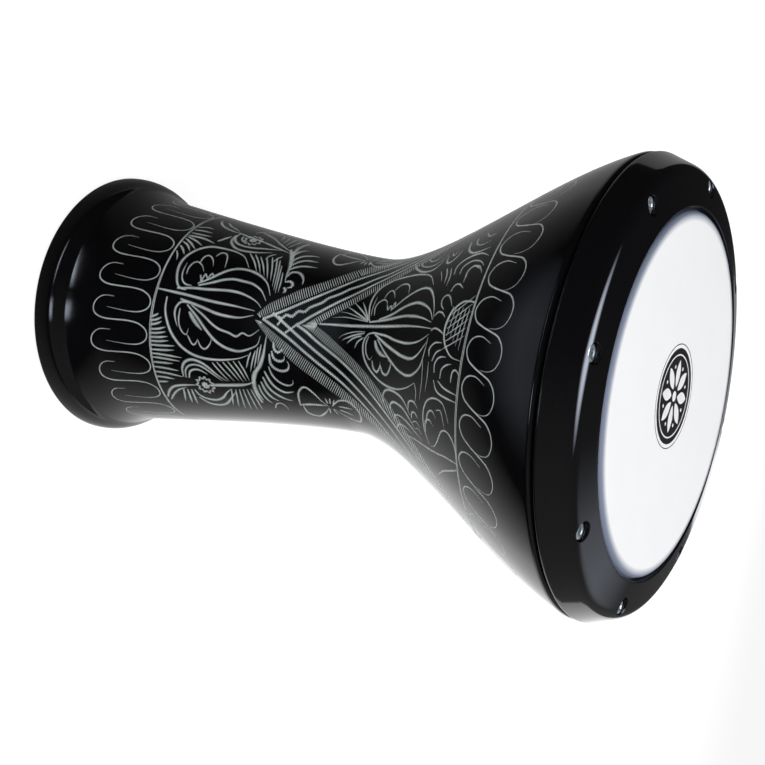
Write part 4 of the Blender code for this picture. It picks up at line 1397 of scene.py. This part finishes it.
def petal_outline(length, width, steps=16):
    """A pointed oval along X, in the plane."""
    edge = [(length * t, width * math.sin(math.pi * t) ** 0.8) for t in np.linspace(0, 1, steps)]
    return edge + [(x, -y) for x, y in reversed(edge[1:-1])]


def add_slab(shape, outline, low, high, material_index, turn=0.0, shift=0.0):
    """A thin closed slab from an outline in the plane, moved along X and turned about Z."""
    rows = []
    for z in (low, high):
        row = []
        for x, y in outline:
            place = Matrix.Rotation(turn, 3, "Z") @ Vector((x + shift, y, z))
            row.append(shape.verts.new(place))
        rows.append(row)
    faces = [shape.faces.new(list(reversed(rows[0]))), shape.faces.new(rows[1])]
    for index in range(len(outline)):
        after = (index + 1) % len(outline)
        faces.append(shape.faces.new((rows[0][index], rows[0][after], rows[1][after], rows[1][index])))
    for face in faces:
        face.material_index = material_index


def circle(radius, steps=96):
    """Points round a circle in the plane."""
    return [(radius * math.cos(math.tau * k / steps), radius * math.sin(math.tau * k / steps))
            for k in range(steps)]


def build_print(black, white):
    """A plain printed rosette in the middle of the head."""
    shape = bmesh.new()
    ink = PLAYING_Z + PRINT_LIFT
    low, high = ink - PRINT_LIFT / 2, ink + PRINT_RISE
    add_slab(shape, circle(PRINT_RADIUS), PLAYING_Z - PRINT_SINK, ink, 0)
    step = math.tau / PETAL_COUNT
    petal = petal_outline(PETAL_LENGTH, PETAL_WIDTH)
    for index in range(PETAL_COUNT):
        add_slab(shape, petal, low, high, 1, step * index, PETAL_START)
    for index in range(PETAL_COUNT):
        add_slab(shape, circle(DOT_RADIUS, 20), low, high, 1, step * (index + 0.5), DOT_CIRCLE_RADIUS)
    add_slab(shape, circle(HEART_RADIUS, 40), low, high, 1)
    add_band(shape, *WHITE_LINE, low, high, 1)
    add_band(shape, *BLACK_LINE, low, high, 0)
    bmesh.ops.recalc_face_normals(shape, faces=shape.faces)
    piece = add_piece("head_print", mesh_from(shape, "head_print"), black)
    piece.data.materials.append(white)
    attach(piece, "drum")


def add_band(shape, inner, outer, low, high, material_index):
    """A thin closed ring in the plane."""
    rows = []
    for radius, z in ((inner, low), (outer, low), (outer, high), (inner, high)):
        rows.append([shape.verts.new((x, y, z)) for x, y in circle(radius)])
    count = len(rows[0])
    for row, after_row in zip(rows, rows[1:] + rows[:1]):
        for index in range(count):
            after = (index + 1) % count
            face = shape.faces.new((row[index], row[after], after_row[after], after_row[index]))
            face.material_index = material_index


# Studio: what the camera, the gloss and the matte surfaces see of the floor and the room
FLOOR_SIZE = 6.0
FLOOR_DROP = 0.0004
FLOOR_GLOW = 0.88
FLOOR_SHADE = (0.30, 0.30, 0.30, 1.0)
FLOOR_BOUNCE = (0.75, 0.75, 0.75, 1.0)
ROOM_ON_MATTE = 0.0254
COOL = (0.86, 0.94, 1.10)
PLAIN = (1.0, 1.0, 1.0)
EDGE_FADE = 0.35

# What reflections see of the floor and the room: two places on an axis, and the light at each
FLOOR_BEHIND = (0.16, -0.20, 0.0, 1.4)
FLOOR_BESIDE = (0.03, -0.10, 0.25, 1.0)
ROOM_BESIDE = (0.2, -0.9, 0.02, 0.26)


def floor_material():
    """Pale floor: white to the camera with the drum's shadow, and dark in front in reflections."""
    material = bpy.data.materials.new("studio_floor")
    material.use_nodes = True
    tree = material.node_tree
    tree.nodes.clear()
    output = add_node(tree, "ShaderNodeOutputMaterial")
    path = add_node(tree, "ShaderNodeLightPath")
    matte = add_node(tree, "ShaderNodeBsdfDiffuse", Color=FLOOR_SHADE)
    glow = add_node(tree, "ShaderNodeEmission", Strength=FLOOR_GLOW)
    shown = add_node(tree, "ShaderNodeAddShader")
    tree.links.new(matte.outputs[0], shown.inputs[0])
    tree.links.new(glow.outputs[0], shown.inputs[1])
    pale = add_node(tree, "ShaderNodeBsdfDiffuse", Color=FLOOR_BOUNCE)
    place = axes_of(tree, "ShaderNodeNewGeometry", "Position")
    behind = ramp(tree, place["Y"], *FLOOR_BEHIND)
    beside = ramp(tree, place["X"], *FLOOR_BESIDE)
    mirrored = add_node(tree, "ShaderNodeEmission")
    tree.links.new(calculate(tree, "MULTIPLY", behind, beside), mirrored.inputs["Strength"])
    unseen = mix_shaders(tree, path.outputs["Is Glossy Ray"], pale.outputs[0], mirrored.outputs[0])
    seen = mix_shaders(tree, path.outputs["Is Camera Ray"], unseen, shown.outputs[0])
    tree.links.new(seen, output.inputs["Surface"])
    material.cycles.emission_sampling = "NONE"
    return material


def build_stage():
    """A wide pale floor under the foot."""
    shape = bmesh.new()
    bmesh.ops.create_grid(shape, x_segments=1, y_segments=1, size=FLOOR_SIZE)
    floor = add_piece("studio_floor", mesh_from(shape, "studio_floor"), floor_material())
    floor.location.z = -FLOOR_DROP


def build_world():
    """White to the camera, soft light on matte surfaces and nearly dark in reflections."""
    world = bpy.data.worlds.new("studio")
    world.use_nodes = True
    bpy.context.scene.world = world
    tree = world.node_tree
    background = tree.nodes["Background"]
    background.inputs["Color"].default_value = (1.0, 1.0, 1.0, 1.0)
    path = add_node(tree, "ShaderNodeLightPath")
    plain = calculate(tree, "MULTIPLY", path.outputs["Is Diffuse Ray"], ROOM_ON_MATTE)
    room = ramp(tree, axes_of(tree, "ShaderNodeTexCoord", "Generated")["X"], *ROOM_BESIDE)
    glossy = calculate(tree, "MULTIPLY", path.outputs["Is Glossy Ray"], room)
    total = calculate(tree, "ADD", calculate(tree, "ADD", plain, glossy), path.outputs["Is Camera Ray"])
    tree.links.new(total, background.inputs["Strength"])


def bearing(azimuth, elevation):
    """A direction from its angles in degrees."""
    azimuth, elevation = math.radians(azimuth), math.radians(elevation)
    level = math.cos(elevation)
    return Vector((level * math.cos(azimuth), level * math.sin(azimuth), math.sin(elevation)))


def fade_edges(lamp, share):
    """Let a lamp's light fall off towards its edges, over a share of its width and height."""
    lamp.use_nodes = True
    tree = lamp.node_tree
    place = axes_of(tree, "ShaderNodeNewGeometry", "Parametric")
    level = 1.0
    for axis in ("X", "Y"):
        rise = ramp(tree, place[axis], 0.0, share, 0.0, 1.0)
        fall = ramp(tree, place[axis], 1.0, 1.0 - share, 0.0, 1.0)
        level = calculate(tree, "MULTIPLY", calculate(tree, "MULTIPLY", rise, fall), level)
    tree.links.new(level, tree.nodes["Emission"].inputs["Strength"])


def add_softbox(name, target, direction, distance, width, height, radiance, glossy):
    """An area lamp facing a target; its width lies level. It lights gloss or matte surfaces, not both."""
    lamp = bpy.data.lights.new(name, "AREA")
    lamp.shape = "RECTANGLE"
    lamp.size = width
    lamp.size_y = height
    lamp.energy = radiance * math.pi * width * height
    lamp.color = COOL if glossy else PLAIN
    box = bpy.data.objects.new(name, lamp)
    bpy.context.scene.collection.objects.link(box)
    across = Vector((0.0, 0.0, 1.0)).cross(direction).normalized()
    above = direction.cross(across)
    turn = Matrix((across, above, direction)).transposed().to_4x4()
    box.matrix_world = Matrix.Translation(Vector(target) + direction * distance) @ turn
    box.visible_camera = False
    box.visible_glossy = glossy
    box.visible_diffuse = not glossy
    if glossy:
        fade_edges(lamp, EDGE_FADE)


def build_lights():
    """Boxes that the lacquer mirrors, and soft fills for the film and the engraving."""
    foot = Vector((-0.01, 0.09, 0.02))
    shoulder = Vector((0.01, 0.13, 0.425))
    bowl = Vector((0.0, 0.141, 0.397))
    middle = Vector((0.0, 0.0, 0.25))
    above = Vector((0.10, -0.14, 0.98)).normalized()
    below = Vector((0.02, 0.109, -0.237)).normalized()
    # Name, target, direction, distance, width, height and radiance
    mirrored = [
        ("key_core", foot, bearing(105.0, 3.5), 1.5, 0.55, 0.42, 8.0),
        ("key_halo", foot, bearing(103.0, 1.5), 1.6, 0.90, 0.24, 0.6),
        ("key_edge", foot, bearing(66.0, 1.0), 1.5, 1.10, 0.07, 14.0),
        ("top_box", shoulder, above, 1.6, 1.15, 1.60, 16.0),
        ("back_box", shoulder, bearing(-119.0, 31.0), 1.6, 1.30, 0.85, 0.75),
        ("low_panel", bowl, below, 0.26, 0.50, 0.22, 0.5),
    ]
    soft = [
        ("fill_head", middle, bearing(160.0, 75.0), 1.8, 1.4, 1.4, 4.2),
        ("fill_front", middle, bearing(95.0, 25.0), 1.8, 1.2, 1.2, 3.4),
        ("fill_back", middle, bearing(-85.0, 25.0), 1.8, 1.2, 1.2, 2.6),
    ]
    for lamp in mirrored:
        add_softbox(*lamp, glossy=True)
    for lamp in soft:
        add_softbox(*lamp, glossy=False)


# Camera: fitted to the photograph's outline, in metres and pixels of the square picture
CAMERA_PLACE = Vector((-0.0231, 0.7965, 0.6863))
CAMERA_FORWARD = Vector((0.0, -0.86859, -0.49554))
CAMERA_UP = Vector((0.98368, 0.08917, -0.15629))
PICTURE_WIDTH = 765.0
FOCAL_PIXELS = 1377.13
SENSOR_WIDTH = 36.0


def build_camera():
    """The photograph's view: from in front and above, rolled so that the drum lies across it."""
    data = bpy.data.cameras.new("camera")
    data.sensor_width = SENSOR_WIDTH
    data.lens = SENSOR_WIDTH * FOCAL_PIXELS / PICTURE_WIDTH
    data.clip_start = 0.01
    data.clip_end = 50.0
    camera = bpy.data.objects.new("camera", data)
    bpy.context.scene.collection.objects.link(camera)
    forward = CAMERA_FORWARD.normalized()
    right = forward.cross(CAMERA_UP).normalized()
    up = right.cross(forward)
    turn = Matrix((right, up, -forward)).transposed().to_4x4()
    camera.matrix_world = Matrix.Translation(CAMERA_PLACE) @ turn
    bpy.context.scene.camera = camera


def main():
    """Set up the studio, dress the drum's pieces and engrave the casting."""
    bpy.context.scene.view_settings.view_transform = "Standard"
    build_camera()
    build_world()
    build_stage()
    build_lights()
    body_lacquer = lacquer_material("body_lacquer", True)
    ring_lacquer = lacquer_material("ring_lacquer", False)
    build_shell(body_lacquer)
    build_ring(ring_lacquer)
    build_film(film_material())
    build_screws(zinc_material())
    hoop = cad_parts["flesh_hoop"]
    hoop.data.materials.clear()
    hoop.data.materials.append(hoop_material())
    build_print(print_material("black_ink", (0.008, 0.008, 0.009)),
                print_material("white_ink", (0.80, 0.80, 0.82)))
    metal = engraving_material()
    surface = Surface()
    engrave_borders(surface, metal)
    engrave_panel("engraving_front", surface, metal, 0.0)
    engrave_panel("engraving_back", surface, metal, 180.0)


main()
